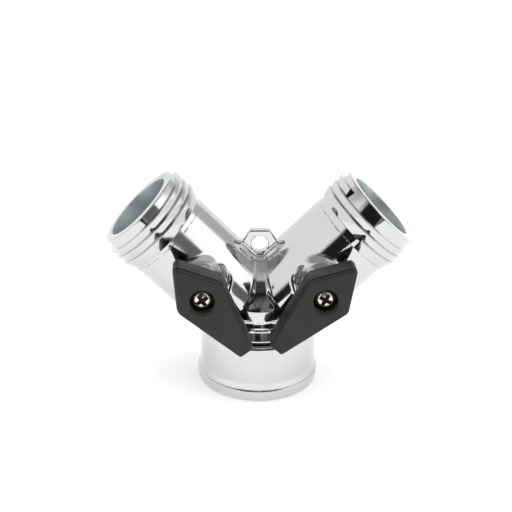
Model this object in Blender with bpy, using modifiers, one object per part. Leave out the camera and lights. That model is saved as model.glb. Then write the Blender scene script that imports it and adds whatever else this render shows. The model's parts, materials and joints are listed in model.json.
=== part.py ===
"""Two-way garden hose splitter: a cast Y body with two quarter-turn ball valves and a swivel inlet nut.

Frame: metres, +Z up, -Y is the lever side, the nut stands on z = 0. The inlet axis is vertical, and it is
set back by AXIS_SET_BACK so that the origin is under the middle of the whole fitting. Lengths below are in
millimetres, and each mesh is scaled to metres as it is made.
"""

import math

import bmesh
import bpy
from mathutils import Matrix, Vector

MM = 0.001
COLLECTION = "hose_splitter"
MERGE = 0.00001            # metres, for every modifier that merges points
GAP = 0.3                  # running clearance between neighbouring pieces

# ---- driving dimensions, in millimetres ----

# 3/4 inch garden hose thread, 11.5 turns to the inch
PITCH = 25.4 / 11.5
CREST_R = 13.4
ROOT_R = 12.05

# the Y
ARM_ANGLE = math.radians(45.0)
CROSSING_Z = 17.3
ARM_LENGTH = 44.67         # from the crossing of the axes to the mouth of an arm
ARM_R = 12.19
MOUTH_CHAMFER = 0.35
TURNED_END = 10.6          # from the mouth back to the step where the casting starts
ARM_TAIL = 14.0            # how far an arm's bar runs past the crossing, into the other arm
CHAMBER_R = 9.58
CHAMBER_FLOOR = 12.6       # how far along the arm the wide bore starts
PORT_R = 5.6
THREAD_TURNS = 3.1
THREAD_END = 2.5           # from the mouth to the middle of the first ridge
THREAD_START = math.radians(-96.0)
RIDGE_BASE = 0.85          # half the ridge's width at its foot, and at its crest
RIDGE_CREST = 0.40
RIDGE_SUNK = 0.3           # how far a ridge starts inside the metal that carries it

# the neck and the swivel nut
TAIL_R = 10.6
TAIL_BOTTOM = 10.6
NECK_BORE_R = 7.5
FLANGE_R = 13.35
FLANGE_BOTTOM = 18.5
FLANGE_TOP = 20.1
SKIRT_WAIST_R = 12.5       # the cone between the flange and the nut
SKIRT_R = 13.55
SKIRT_BOTTOM = 15.6
NECK_R = 12.8
NECK_TOP = 27.0
SHOULDER_Z = 20.6          # the arms' casting starts here
GROOVE_R = 9.6
GROOVE_BOTTOM = 11.3
GROOVE_TOP = 13.0
NUT_HEIGHT = 15.3
NUT_R = 15.4
BEAD_R = 16.2
BEAD_HEIGHT = 3.3
LIP_R = 11.0
LIP_BOTTOM = 13.3
SOCKET_R = 13.75
THREAD_INNER_R = 12.85
INLET_TURNS = 2.6
INLET_MIDDLE = 4.3         # height of the middle of the inlet thread
WASHER_THICKNESS = 2.2
RING_THICKNESS = 1.1
RING_OUTER_R = 12.9
RING_SPLIT = 2.4

# the valves
VALVE_T = 21.5             # along the arm, from the crossing to the ball's centre
BALL_R = 8.3
BALL_BORE_R = 5.5
SEAT_R = CHAMBER_R - GAP
CUP_R = 7.8                # where a seat's cup meets its face
RETAINER_DEPTH = 3.8
BOSS_R = 5.9
BOSS_TOP = 16.6            # heights on the valve axis are measured from the arm's axis
BOSS_FLARE = 1.5           # how much wider the boss is where it meets the arm
BOSS_FOOT = 11.3
STEM_HOLE_R = 3.85
SPOT_FACE_R = 4.75
SPOT_FACE_TOP = 11.0
STEM_R = 3.4
COLLAR_R = 4.4
COLLAR_BOTTOM = 8.6
COLLAR_TOP = 9.8
TONGUE = (2.0, 6.4, 3.4)   # its size, and the slot's in the ball
TONGUE_MIDDLE = 8.4
BALL_SLOT = (2.6, 4.0, 24.0)
RING_SECTION_R = 0.5
RING_MEAN_R = 3.05
RING_GROOVE_R = 2.25
RING_HEIGHTS = {"inner": 12.2, "outer": 14.3}

# the levers
LEVER_BACK = 17.0
LEVER_FRONT = 23.5
LEVER_ROUND = 0.45
LEVER_CORNERS = [
    # along the lever, across it, and the round at the corner
    (18.3, 2.0, 1.0), (-1.35, 6.8, 2.6), (-10.8, 0.8, 1.1), (-10.8, -0.8, 1.1), (-1.35, -6.8, 2.6),
    (18.3, -2.0, 1.0),
]
CORE_CORNERS = [
    (15.0, 1.0, 0.5), (-1.2, 5.0, 1.6), (-8.5, 0.6, 0.5), (-8.5, -0.6, 0.5), (-1.2, -5.0, 1.6),
    (15.0, -1.0, 0.5),
]
CORE_DEPTH = 3.0
HUB_R = 5.4
STEM_TOP = 19.1
WEB_BOTTOM = 19.4
WEB_TOP = 20.4
RECESS_R = 3.1
SCREW_HEAD_R = 2.5
SCREW_HEAD = 1.9           # height of its head
SCREW_TIP = 15.7
CROSS_SIZE = (3.4, 0.8, 2.0)
SCREW_SHANK_R = 1.2
DRIVE_FLATS = 4.8          # across the flats of the stem's top
LEVER_TURN = {"left": math.radians(-52.4), "right": math.radians(-131.4)}
SCREW_TURN = {"left": math.radians(33.0), "right": math.radians(61.0)}

# the hanging tab and the web in the crotch
TAB_THICKNESS = 2.5
TAB_TOP = 42.5
TAB_HOLE_Z = 38.7
TAB_HOLE_R = 2.2
WEB_PROUD = 1.0            # how far the web stands out of the valley
WEB_REACH = 14.2           # half the length of the ellipse that the web's edge follows
WEB_FOOT_WIDTH = 5.6
WEB_HEAD_WIDTH = 3.2

AXIS_SET_BACK = (LEVER_FRONT - BEAD_R) / 2
STEPS = {"large": 40, "medium": 28, "small": 20, "thin": 16}
SIDES = {"left": -1, "right": 1}


# ---- helpers ----

def clear_scene():
    """Remove whatever the file holds."""
    for obj in list(bpy.data.objects):
        bpy.data.objects.remove(obj, do_unlink=True)


def make_collection(name):
    """A new collection under the scene's own."""
    collection = bpy.data.collections.new(name)
    bpy.context.scene.collection.children.link(collection)
    return collection


def make_material(name, colour, metallic, roughness):
    """A Principled BSDF with a colour, a metallic value and a roughness."""
    material = bpy.data.materials.new(name)
    material.use_nodes = True
    shader = material.node_tree.nodes["Principled BSDF"]
    shader.inputs["Base Color"].default_value = (*colour, 1.0)
    shader.inputs["Metallic"].default_value = metallic
    shader.inputs["Roughness"].default_value = roughness
    return material


def add_object(name, mesh, collection, matrix=Matrix()):
    """Link an object for the mesh, placed by a matrix whose offset is in millimetres."""
    obj = bpy.data.objects.new(name, mesh)
    placed = matrix.copy()
    placed.translation = matrix.translation * MM
    obj.matrix_world = placed
    collection.objects.link(obj)
    return obj


def mesh_from(name, bm):
    """Turn a bmesh in millimetres into a mesh in metres."""
    bmesh.ops.scale(bm, vec=(MM, MM, MM), verts=bm.verts)
    mesh = bpy.data.meshes.new(name)
    bm.to_mesh(mesh)
    bm.free()
    return mesh


def settled(obj):
    """Apply the modifiers that the object carries."""
    bpy.context.view_layer.update()
    graph = bpy.context.evaluated_depsgraph_get()
    mesh = bpy.data.meshes.new_from_object(obj.evaluated_get(graph))
    obj.modifiers.clear()
    obj.data = mesh
    return obj


def turned(name, profile, collection, steps, matrix=Matrix()):
    """Turn (radius, height) points round Z. A profile off the axis is a closed loop, outer side first."""
    bm = bmesh.new()
    points = [bm.verts.new((radius, 0, height)) for radius, height in profile]
    on_axis = profile[0][0] == 0 and profile[-1][0] == 0
    for first, second in zip(points, points[1:]):
        bm.edges.new((first, second))
    if not on_axis:
        bm.edges.new((points[-1], points[0]))
    obj = add_object(name, mesh_from(name, bm), collection, matrix)
    screw = obj.modifiers.new("turn", "SCREW")
    screw.steps = steps
    screw.render_steps = steps
    screw.use_merge_vertices = True
    screw.merge_threshold = MERGE
    screw.use_smooth_shade = False
    return settled(obj)


def cylinder(name, radius, bottom, top, collection, steps, matrix=Matrix()):
    """A plain round bar along Z, from one height to another."""
    profile = [(0, top), (radius, top), (radius, bottom), (0, bottom)]
    return turned(name, profile, collection, steps, matrix)


def prism(name, outline, bottom, top, collection, matrix=Matrix()):
    """A flat outline in XY, given anticlockwise, raised from one height to another."""
    bm = bmesh.new()
    face = bm.faces.new([bm.verts.new((x, y, bottom)) for x, y in outline])
    raised = bmesh.ops.extrude_face_region(bm, geom=[face])["geom"]
    moved = [item for item in raised if isinstance(item, bmesh.types.BMVert)]
    bmesh.ops.translate(bm, vec=(0, 0, top - bottom), verts=moved)
    bmesh.ops.recalc_face_normals(bm, faces=bm.faces)
    return add_object(name, mesh_from(name, bm), collection, matrix)


def block(name, size, centre, collection, matrix=Matrix()):
    """A box with its size and centre in its own frame."""
    bm = bmesh.new()
    bmesh.ops.create_cube(bm, size=1.0)
    bmesh.ops.scale(bm, vec=size, verts=bm.verts)
    bmesh.ops.translate(bm, vec=centre, verts=bm.verts)
    return add_object(name, mesh_from(name, bm), collection, matrix)


def combine(obj, operation, tools):
    """Join tools to an object, or cut them out of it, one exact Boolean at a time."""
    for tool in tools:
        modifier = obj.modifiers.new(tool.name, "BOOLEAN")
        modifier.operation = operation
        modifier.object = tool
        modifier.solver = "EXACT"
        settled(obj)
        bpy.data.objects.remove(tool, do_unlink=True)
        bm = bmesh.new()
        bm.from_mesh(obj.data)
        bmesh.ops.remove_doubles(bm, verts=bm.verts, dist=MERGE / 10)
        bmesh.ops.dissolve_degenerate(bm, edges=bm.edges, dist=MERGE / 10)
        bm.to_mesh(obj.data)
        bm.free()
    return obj


def rounded_outline(corners, per_corner=4):
    """Round the corners (x, y, radius) of an anticlockwise outline with arcs."""
    outline = []
    count = len(corners)
    for index, (x, y, radius) in enumerate(corners):
        corner = Vector((x, y))
        before = (Vector(corners[index - 1][:2]) - corner).normalized()
        after = (Vector(corners[(index + 1) % count][:2]) - corner).normalized()
        half = before.angle(after) / 2
        middle = corner + (before + after).normalized() * radius / math.sin(half)
        start = corner + before * radius / math.tan(half) - middle
        sweep = math.pi - 2 * half
        for step in range(per_corner + 1):
            turn = Matrix.Rotation(sweep * step / per_corner, 2)
            outline.append(tuple(middle + turn @ start))
    return outline


def helical_ridge(name, base_r, crest_r, turns, middle, collection, matrix=Matrix(), start=0.0):
    """A right-hand thread ridge round Z. Its height runs out to nothing at both ends."""
    per_turn = 24
    steps = round(turns * per_turn)
    run_out = per_turn // 4
    bm = bmesh.new()
    rings = []
    for step in range(steps + 1):
        share = min(1.0, (step + 0.5) / run_out, (steps - step + 0.5) / run_out)
        angle = start + math.tau * step / per_turn
        height = middle + (step / per_turn - turns / 2) * PITCH
        crest = base_r + (crest_r - base_r) * share
        section = [(base_r, -RIDGE_BASE), (crest, -RIDGE_CREST), (crest, RIDGE_CREST), (base_r, RIDGE_BASE)]
        rings.append([
            bm.verts.new((radius * math.cos(angle), radius * math.sin(angle), height + rise))
            for radius, rise in section
        ])
    for low, high in zip(rings, rings[1:]):
        for index in range(4):
            after = (index + 1) % 4
            bm.faces.new((low[index], high[index], high[after], low[after]))
    bm.faces.new(rings[0])
    bm.faces.new(reversed(rings[-1]))
    bmesh.ops.recalc_face_normals(bm, faces=bm.faces)
    return add_object(name, mesh_from(name, bm), collection, matrix)


def arc(centre, radius, start, end, count):
    """Points of a circular arc, with angles in degrees from the first axis."""
    angles = [math.radians(start + (end - start) * step / count) for step in range(count + 1)]
    return [(centre[0] + radius * math.cos(a), centre[1] + radius * math.sin(a)) for a in angles]


# ---- frames ----

def arm_frame(side):
    """Z along an arm, out of the crossing."""
    return Matrix.Translation((0, 0, CROSSING_Z)) @ Matrix.Rotation(side * ARM_ANGLE, 4, "Y")


def valve_frame(side):
    """Z along a valve's axis, out to the lever, with X to the right and Y up as the levers are faced."""
    centre = arm_frame(side) @ Vector((0, 0, VALVE_T))
    return Matrix.Translation(centre) @ Matrix.Rotation(math.radians(90), 4, "X")


# ---- the cast body ----

def make_body(collection, tools):
    """The Y: two arms, neck, valve bosses, hanging tab, web and outlet threads, then every bore."""
    body = turned("body", [
        (0, NECK_TOP), (NECK_R - 1.5, NECK_TOP), (NECK_R - 0.6, NECK_TOP - 1.0), (NECK_R, FLANGE_TOP + 0.8),
        (FLANGE_R, FLANGE_TOP),
        (FLANGE_R, FLANGE_BOTTOM), (SKIRT_WAIST_R, FLANGE_BOTTOM), (SKIRT_R, SKIRT_BOTTOM + 0.7),
        (SKIRT_R, SKIRT_BOTTOM), (TAIL_R, SKIRT_BOTTOM), (TAIL_R, GROOVE_TOP), (GROOVE_R, GROOVE_TOP), (GROOVE_R, GROOVE_BOTTOM),
        (TAIL_R, GROOVE_BOTTOM), (TAIL_R, TAIL_BOTTOM + 0.4), (TAIL_R - 0.4, TAIL_BOTTOM),
        (0, TAIL_BOTTOM),
    ], collection, STEPS["large"])
    arms = []
    for name, side in SIDES.items():
        frame = arm_frame(side)
        arms.append(turned(f"{name}_arm", [
            (0, ARM_LENGTH), (ROOT_R - MOUTH_CHAMFER, ARM_LENGTH),
            (ROOT_R, ARM_LENGTH - MOUTH_CHAMFER), (ROOT_R, ARM_LENGTH - TURNED_END + 0.4),
            (ARM_R, ARM_LENGTH - TURNED_END), (ARM_R, -ARM_TAIL), (0, -ARM_TAIL),
        ], tools, STEPS["large"], frame))
    shoulder = [block("below_shoulder", (90, 60, 60), (0, 0, SHOULDER_Z - 30), tools)]
    hips = combine(arms[0], "UNION", [arms[1]])
    combine(hips, "DIFFERENCE", shoulder)
    joined = [hips, make_tab(tools), make_web(tools)]
    for name, side in SIDES.items():
        joined.append(turned(f"{name}_boss", [
            (0, BOSS_TOP), (BOSS_R - 0.4, BOSS_TOP), (BOSS_R, BOSS_TOP - 0.4), (BOSS_R, BOSS_FOOT + 1.9),
            (BOSS_R + BOSS_FLARE / 3, BOSS_FOOT + 0.9), (BOSS_R + BOSS_FLARE, BOSS_FOOT),
            (BOSS_R + BOSS_FLARE, 5.0), (0, 5.0),
        ], tools, STEPS["medium"], valve_frame(side)))
        middle = ARM_LENGTH - THREAD_END - THREAD_TURNS * PITCH / 2
        joined.append(helical_ridge(f"{name}_thread", ROOT_R - RIDGE_SUNK, CREST_R, THREAD_TURNS, middle,
                                    tools, arm_frame(side), THREAD_START))
    combine(body, "UNION", joined)
    cutters = [turned("neck_bore", [
        (0, 22.0), (NECK_BORE_R - 3.5, 21.0), (NECK_BORE_R, 18.0), (NECK_BORE_R, 5.0), (0, 5.0),
    ], tools, STEPS["medium"])]
    for name, side in SIDES.items():
        frame = arm_frame(side)
        cutters.append(cylinder(f"{name}_chamber", CHAMBER_R, CHAMBER_FLOOR, ARM_LENGTH + 5, tools,
                                STEPS["medium"], frame))
        cutters.append(cylinder(f"{name}_port", PORT_R, 2.0, CHAMBER_FLOOR + 2, tools,
                                STEPS["medium"], frame))
        cutters.append(turned(f"{name}_stem_hole", [
            (0, BOSS_TOP + 4), (STEM_HOLE_R, BOSS_TOP + 4), (STEM_HOLE_R, SPOT_FACE_TOP),
            (SPOT_FACE_R, SPOT_FACE_TOP), (SPOT_FACE_R, 6.0), (0, 6.0),
        ], tools, STEPS["small"], valve_frame(side)))
    across = Matrix.Rotation(math.radians(90), 4, "X")
    cutters.append(cylinder("tab_hole", TAB_HOLE_R, -10, 10, tools, STEPS["small"],
                            Matrix.Translation((0, 0, TAB_HOLE_Z)) @ across))
    return combine(body, "DIFFERENCE", cutters)


def make_tab(tools):
    """The flat tab that stands in the crotch and carries the hanging hole."""
    half = TAB_THICKNESS / 2
    outline = rounded_outline([
        (-4.4, 29.0, 0.2), (4.4, 29.0, 0.2), (4.6, 39.4, 0.6), (2.7, TAB_TOP, 0.5),
        (-2.7, TAB_TOP, 0.5), (-4.6, 39.4, 0.6),
    ], per_corner=2)
    return prism("tab", outline, -half, half, tools, Matrix.Rotation(math.radians(90), 4, "X"))


def make_web(tools):
    """The web that fills the valley between the arms, front and back, wider towards its foot."""
    rise = ARM_R / math.sin(ARM_ANGLE) + WEB_PROUD
    angles = [math.radians(30 + 120 * step / 16) for step in range(17)]
    limit = NECK_R - 0.5
    outline = [(max(-limit, min(limit, WEB_REACH * math.cos(a))), CROSSING_Z + rise * math.sin(a))
               for a in angles]
    web = prism("web", outline, -0.5, 0.5, tools)
    foot_z, head_z = outline[0][1] * MM, outline[8][1] * MM
    for vert in web.data.vertices:
        across, height = vert.co.z, vert.co.y
        share = (height - foot_z) / (head_z - foot_z)
        width = WEB_FOOT_WIDTH + (WEB_HEAD_WIDTH - WEB_FOOT_WIDTH) * share
        vert.co = (across * width, -vert.co.x, height)
    return web


# ---- the swivel inlet ----

def make_nut(collection, tools):
    """The swivel collar: a bead at the foot, a lip at the top, and the inlet thread inside."""
    nut = turned("inlet_nut", [
        (LIP_R, NUT_HEIGHT), (NUT_R - 0.8, NUT_HEIGHT),
        *arc((NUT_R - 0.8, NUT_HEIGHT - 0.8), 0.8, 60, 0, 2),
        (NUT_R, BEAD_HEIGHT + 2.6), (NUT_R + 0.2, BEAD_HEIGHT + 1.2), (BEAD_R - 0.2, BEAD_HEIGHT + 0.2),
        (BEAD_R, BEAD_HEIGHT - 0.4), (BEAD_R, 1.2), (BEAD_R - 0.3, 0.5), (BEAD_R - 0.9, 0.0),
        (SOCKET_R + 0.3, 0.0), (SOCKET_R, 0.5), (SOCKET_R, LIP_BOTTOM), (LIP_R, LIP_BOTTOM),
    ], collection, STEPS["large"])
    ridge = helical_ridge("inlet_thread", SOCKET_R + RIDGE_SUNK, THREAD_INNER_R, INLET_TURNS,
                          INLET_MIDDLE, tools)
    return combine(nut, "UNION", [ridge])


def make_swivel_pieces(collection):
    """The ring that holds the nut on the neck, and the washer that seals the hose."""
    bottom = (GROOVE_BOTTOM + GROOVE_TOP - RING_THICKNESS) / 2
    ring = turned("nut_retaining_ring", [
        (RING_OUTER_R, bottom + RING_THICKNESS), (RING_OUTER_R, bottom), (GROOVE_R + GAP, bottom),
        (GROOVE_R + GAP, bottom + RING_THICKNESS),
    ], collection, STEPS["medium"])
    split = block("ring_split", (6, RING_SPLIT, 6), (RING_OUTER_R - 1, 0, bottom), collection,
                  Matrix.Rotation(math.radians(90), 4, "Z"))
    combine(ring, "DIFFERENCE", [split])
    top = TAIL_BOTTOM - GAP
    washer = turned("inlet_washer", [
        (THREAD_INNER_R - GAP, top), (THREAD_INNER_R - GAP, top - WASHER_THICKNESS),
        (NECK_BORE_R, top - WASHER_THICKNESS), (NECK_BORE_R, top),
    ], collection, STEPS["medium"])
    return ring, washer


# ---- one valve ----

def make_ball(name, side, collection, tools):
    """The ball: a bore along the arm, and a slot on top for the stem's tongue."""
    bm = bmesh.new()
    bmesh.ops.create_uvsphere(bm, u_segments=24, v_segments=12, radius=BALL_R)
    ball = add_object(f"{name}_ball", mesh_from("ball", bm), collection, valve_frame(side))
    along_arm = arm_frame(side) @ Matrix.Translation((0, 0, VALVE_T))
    bore = cylinder("ball_bore", BALL_BORE_R, -12, 12, tools, STEPS["small"], along_arm)
    slot = block("ball_slot", BALL_SLOT, (0, -BALL_R, 0), tools, along_arm)
    return combine(ball, "DIFFERENCE", [bore, slot])


def make_seats(name, side, collection, tools):
    """Two seat rings that cup the ball, and the slotted ring that holds them in the arm."""
    near_r = BALL_R + GAP
    inner_t = CHAMBER_FLOOR + GAP - VALVE_T
    angles = [math.degrees(math.asin(radius / near_r)) for radius in (CUP_R, 6.0)]
    cup = arc((0, 0), near_r, -90 + angles[0], -90 + angles[1], 3)
    step_t = -(COLLAR_R + 2 * GAP)
    profile = [
        (CUP_R + 0.35, cup[0][1]), (CUP_R + 0.35, step_t), (SEAT_R, step_t), (SEAT_R, inner_t),
        (PORT_R + 0.1, inner_t), (PORT_R + 0.1, cup[-1][1]), *reversed(cup),
    ]
    along_arm = arm_frame(side) @ Matrix.Translation((0, 0, VALVE_T))
    flipped = along_arm @ Matrix.Rotation(math.pi, 4, "X")
    seats = [
        turned(f"{name}_inner_seat", profile, collection, STEPS["small"], along_arm),
        turned(f"{name}_outer_seat", profile, collection, STEPS["small"], flipped),
    ]
    bottom = -inner_t + GAP
    top = bottom + RETAINER_DEPTH
    retainer = turned(f"{name}_seat_retainer", [
        (SEAT_R, top), (SEAT_R, bottom), (PORT_R + 0.9, bottom), (PORT_R + 0.9, top - 0.8),
        (PORT_R + 1.7, top),
    ], collection, STEPS["medium"], along_arm)
    slots = block("spanner_slot", (2.2, 24, 3.0), (0, 0, top), tools, along_arm)
    combine(retainer, "DIFFERENCE", [slots])
    return [*seats, retainer]


def make_stem(name, side, collection, tools):
    """The stem: tongue, collar, two ring grooves, flats for the lever and a hole for its screw."""
    groove = RING_SECTION_R + GAP
    low, high = RING_HEIGHTS["inner"], RING_HEIGHTS["outer"]
    stem = turned(f"{name}_stem", [
        (0, STEM_TOP), (STEM_R - 0.3, STEM_TOP), (STEM_R, STEM_TOP - 0.3),
        (STEM_R, high + groove), (RING_GROOVE_R, high + groove),
        (RING_GROOVE_R, high - groove), (STEM_R, high - groove),
        (STEM_R, low + groove), (RING_GROOVE_R, low + groove),
        (RING_GROOVE_R, low - groove), (STEM_R, low - groove),
        (STEM_R, COLLAR_TOP), (COLLAR_R, COLLAR_TOP), (COLLAR_R, COLLAR_BOTTOM), (0, COLLAR_BOTTOM),
    ], collection, STEPS["small"], valve_frame(side))
    turn = Matrix.Rotation(-side * ARM_ANGLE, 4, "Z")
    tongue = block("tongue", TONGUE, (0, 0, TONGUE_MIDDLE), tools, valve_frame(side) @ turn)
    combine(stem, "UNION", [tongue])
    keyed = valve_frame(side) @ Matrix.Rotation(LEVER_TURN[name], 4, "Z")
    cutters = [cylinder("screw_hole", SCREW_SHANK_R + GAP, SCREW_TIP - GAP, 30, tools, STEPS["thin"],
                        valve_frame(side))]
    for edge in (-1, 1):
        centre = (0, edge * (DRIVE_FLATS / 2 + 5), 22.0)
        cutters.append(block("flat", (20, 10, 10), centre, tools, keyed))
    return combine(stem, "DIFFERENCE", cutters)


def make_stem_rings(name, side, collection):
    """Two O-rings in the stem's grooves, and the slip washer between collar and boss."""
    pieces = []
    for which, height in RING_HEIGHTS.items():
        section = arc((RING_MEAN_R, height), RING_SECTION_R, 90, -210, 5)
        pieces.append(turned(f"{name}_stem_o_ring_{which}", section, collection, STEPS["thin"],
                             valve_frame(side)))
    pieces.append(turned(f"{name}_stem_thrust_washer", [
        (COLLAR_R, SPOT_FACE_TOP - GAP), (COLLAR_R, COLLAR_TOP + GAP), (STEM_R + GAP, COLLAR_TOP + GAP),
        (STEM_R + GAP, SPOT_FACE_TOP - GAP),
    ], collection, STEPS["small"], valve_frame(side)))
    return pieces


def make_lever(name, side, collection, tools):
    """The pointed lever: a rounded kite with a screw recess in front and a cored back."""
    keyed = valve_frame(side) @ Matrix.Rotation(LEVER_TURN[name], 4, "Z")
    lever = prism(f"{name}_handle", rounded_outline(LEVER_CORNERS), LEVER_BACK, LEVER_FRONT, collection, keyed)
    bevel = lever.modifiers.new("front_round", "BEVEL")
    bevel.width = LEVER_ROUND * MM
    bevel.segments = 1
    bevel.limit_method = "ANGLE"
    bevel.angle_limit = math.radians(60)
    settled(lever)
    core = prism("core", rounded_outline(CORE_CORNERS, per_corner=2), LEVER_BACK - 2,
                 LEVER_BACK + CORE_DEPTH, tools, keyed)
    hub = cylinder("hub", HUB_R, LEVER_BACK - 5, LEVER_BACK + 6, tools, STEPS["small"], keyed)
    combine(core, "DIFFERENCE", [hub])
    pocket = cylinder("pocket", STEM_R + GAP, LEVER_BACK - 2, WEB_BOTTOM, tools, STEPS["small"], keyed)
    for edge in (-1, 1):
        centre = (0, edge * (DRIVE_FLATS / 2 + GAP + 5), LEVER_BACK)
        combine(pocket, "DIFFERENCE", [block("flat", (20, 10, 20), centre, tools, keyed)])
    recess = turned("recess", [
        (0, LEVER_FRONT + 2), (RECESS_R + 0.4, LEVER_FRONT + 2), (RECESS_R + 0.4, LEVER_FRONT - 0.3),
        (RECESS_R, LEVER_FRONT - 0.6), (RECESS_R, WEB_TOP), (0, WEB_TOP),
    ], tools, STEPS["small"], keyed)
    through = cylinder("through", SCREW_SHANK_R + GAP, LEVER_BACK, LEVER_FRONT, tools, STEPS["thin"],
                       keyed)
    return combine(lever, "DIFFERENCE", [core, pocket, recess, through])


def make_screw(name, side, collection, tools):
    """The cross-recessed pan head screw that holds the lever on the stem."""
    frame = valve_frame(side) @ Matrix.Rotation(SCREW_TURN[name], 4, "Z")
    seat = WEB_TOP + GAP
    crown = seat + SCREW_HEAD
    screw = turned(f"{name}_handle_screw", [
        (0, crown), (0.9, crown - 0.05), (1.65, crown - 0.22), (2.2, crown - 0.55),
        (SCREW_HEAD_R, crown - 1.05), (SCREW_HEAD_R, seat), (SCREW_SHANK_R, seat),
        (SCREW_SHANK_R, SCREW_TIP + 0.5), (SCREW_SHANK_R - 0.5, SCREW_TIP), (0, SCREW_TIP),
    ], collection, STEPS["small"], frame)
    length, width, depth = CROSS_SIZE
    cross = block("cross", (length, width, depth), (0, 0, crown), tools, frame)
    combine(cross, "UNION", [block("cross_arm", (width, length, depth), (0, 0, crown), tools, frame)])
    return combine(screw, "DIFFERENCE", [cross])


# ---- assembly ----

def finish_piece(obj, material, parent):
    """Give a piece its finish, shade it and hang it on its frame without moving it."""
    obj.data.materials.clear()
    obj.data.materials.append(material)
    obj.data.shade_smooth()
    obj.data.set_sharp_from_angle(angle=math.radians(30))
    placed = obj.matrix_world.copy()
    obj.parent = parent
    obj.matrix_local = placed


def main():
    """Build every piece round the inlet axis, then set the whole fitting back onto its origin."""
    clear_scene()
    collection = make_collection(COLLECTION)
    tools = make_collection("cutters")
    chrome = make_material("chrome_plate", (0.86, 0.87, 0.88), 1.0, 0.08)
    nickel = make_material("nickel_steel", (0.72, 0.68, 0.60), 1.0, 0.28)
    brass = make_material("brass", (0.78, 0.60, 0.30), 1.0, 0.30)
    black = make_material("black_plastic", (0.03, 0.03, 0.028), 0.0, 0.55)
    rubber = make_material("black_rubber", (0.02, 0.02, 0.02), 0.0, 0.75)
    ptfe = make_material("white_ptfe", (0.85, 0.85, 0.82), 0.0, 0.50)

    pieces = [(make_body(collection, tools), chrome), (make_nut(collection, tools), chrome)]
    ring, washer = make_swivel_pieces(collection)
    pieces += [(ring, nickel), (washer, rubber)]
    for name, side in SIDES.items():
        pieces.append((make_ball(name, side, collection, tools), chrome))
        inner_seat, outer_seat, retainer = make_seats(name, side, collection, tools)
        pieces += [(inner_seat, ptfe), (outer_seat, ptfe), (retainer, brass)]
        pieces.append((make_stem(name, side, collection, tools), brass))
        inner_ring, outer_ring, slip = make_stem_rings(name, side, collection)
        pieces += [(inner_ring, rubber), (outer_ring, rubber), (slip, ptfe)]
        pieces.append((make_lever(name, side, collection, tools), black))
        pieces.append((make_screw(name, side, collection, tools), nickel))

    frame = bpy.data.objects.new("splitter_frame", None)
    collection.objects.link(frame)
    for obj, material in pieces:
        finish_piece(obj, material, frame)
    frame.location.y = AXIS_SET_BACK * MM


main()
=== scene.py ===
# %% [markdown]
# # A two-way garden hose splitter
#
# The real thing is a chromed zinc casting in the shape of a Y. A swivel nut under it screws onto a tap,
# each arm ends in a male hose thread, and a black lever on each arm turns a small ball valve. The packed
# model already fixes where every piece is. This lesson makes the surfaces a camera would see: a casting
# with soft fillets, crisp turned threads, grained plastic levers and small plated screws.

# %% Load the frame
import json
import math

import bmesh
import bpy
import numpy as np
from mathutils import Matrix, Vector


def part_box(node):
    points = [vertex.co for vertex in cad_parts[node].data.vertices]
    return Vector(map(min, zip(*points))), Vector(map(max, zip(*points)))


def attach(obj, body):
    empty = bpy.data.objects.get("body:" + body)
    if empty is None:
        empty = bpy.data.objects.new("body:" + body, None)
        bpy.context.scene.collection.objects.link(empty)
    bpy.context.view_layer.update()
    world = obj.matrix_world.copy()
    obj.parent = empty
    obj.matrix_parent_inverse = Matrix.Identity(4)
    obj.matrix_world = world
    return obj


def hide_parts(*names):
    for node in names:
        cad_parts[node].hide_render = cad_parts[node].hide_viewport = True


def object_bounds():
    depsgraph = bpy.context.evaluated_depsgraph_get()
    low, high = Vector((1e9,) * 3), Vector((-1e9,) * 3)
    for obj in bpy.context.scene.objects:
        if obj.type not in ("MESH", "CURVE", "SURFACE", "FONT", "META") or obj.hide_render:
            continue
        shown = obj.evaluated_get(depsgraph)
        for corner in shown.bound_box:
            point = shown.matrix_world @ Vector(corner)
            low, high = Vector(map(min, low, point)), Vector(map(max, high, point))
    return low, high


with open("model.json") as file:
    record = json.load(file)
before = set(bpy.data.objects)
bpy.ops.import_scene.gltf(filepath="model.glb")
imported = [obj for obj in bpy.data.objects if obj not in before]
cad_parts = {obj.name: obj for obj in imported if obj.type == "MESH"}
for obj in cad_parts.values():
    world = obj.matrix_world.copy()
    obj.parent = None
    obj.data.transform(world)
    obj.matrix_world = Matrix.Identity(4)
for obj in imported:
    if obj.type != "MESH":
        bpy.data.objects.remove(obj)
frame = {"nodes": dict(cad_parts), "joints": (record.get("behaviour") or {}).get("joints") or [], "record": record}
cad_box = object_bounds()
MM = 0.001

# %% [markdown]
# ## Measuring the frame
#
# Every position comes from the model. The swivel joint says where the inlet axis is, the two lever joints
# say where the valves sit, and the outlet mounts say which way each arm points and how far it reaches.
# Working in millimetres round the inlet axis keeps the numbers the size a machinist would read.

# %% Where things are
joints = {joint["name"]: joint for joint in frame["joints"]}
mounts = {mount["name"]: mount for mount in frame["record"]["mounts"]}
AXIS_Y = joints["inlet_nut_swivel"]["pos_m"][1]
AXIS = Vector((0, AXIS_Y, 0))
SIDES = {"left": -1, "right": 1}
ARM_ANGLE = math.atan2(mounts["right_outlet_face"]["axis"][0], mounts["right_outlet_face"]["axis"][2])


def in_mm(point):
    """A point of the frame, in millimetres from the inlet axis."""
    return (Vector(point) - AXIS) / MM


VALVE = in_mm(joints["right_ball_turn"]["pos_m"])
CROSSING_Z = VALVE.z - VALVE.x / math.tan(ARM_ANGLE)
VALVE_T = VALVE.x / math.sin(ARM_ANGLE)
ARM_LENGTH = in_mm(mounts["right_outlet_face"]["pos_m"]).x / math.sin(ARM_ANGLE)


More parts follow.
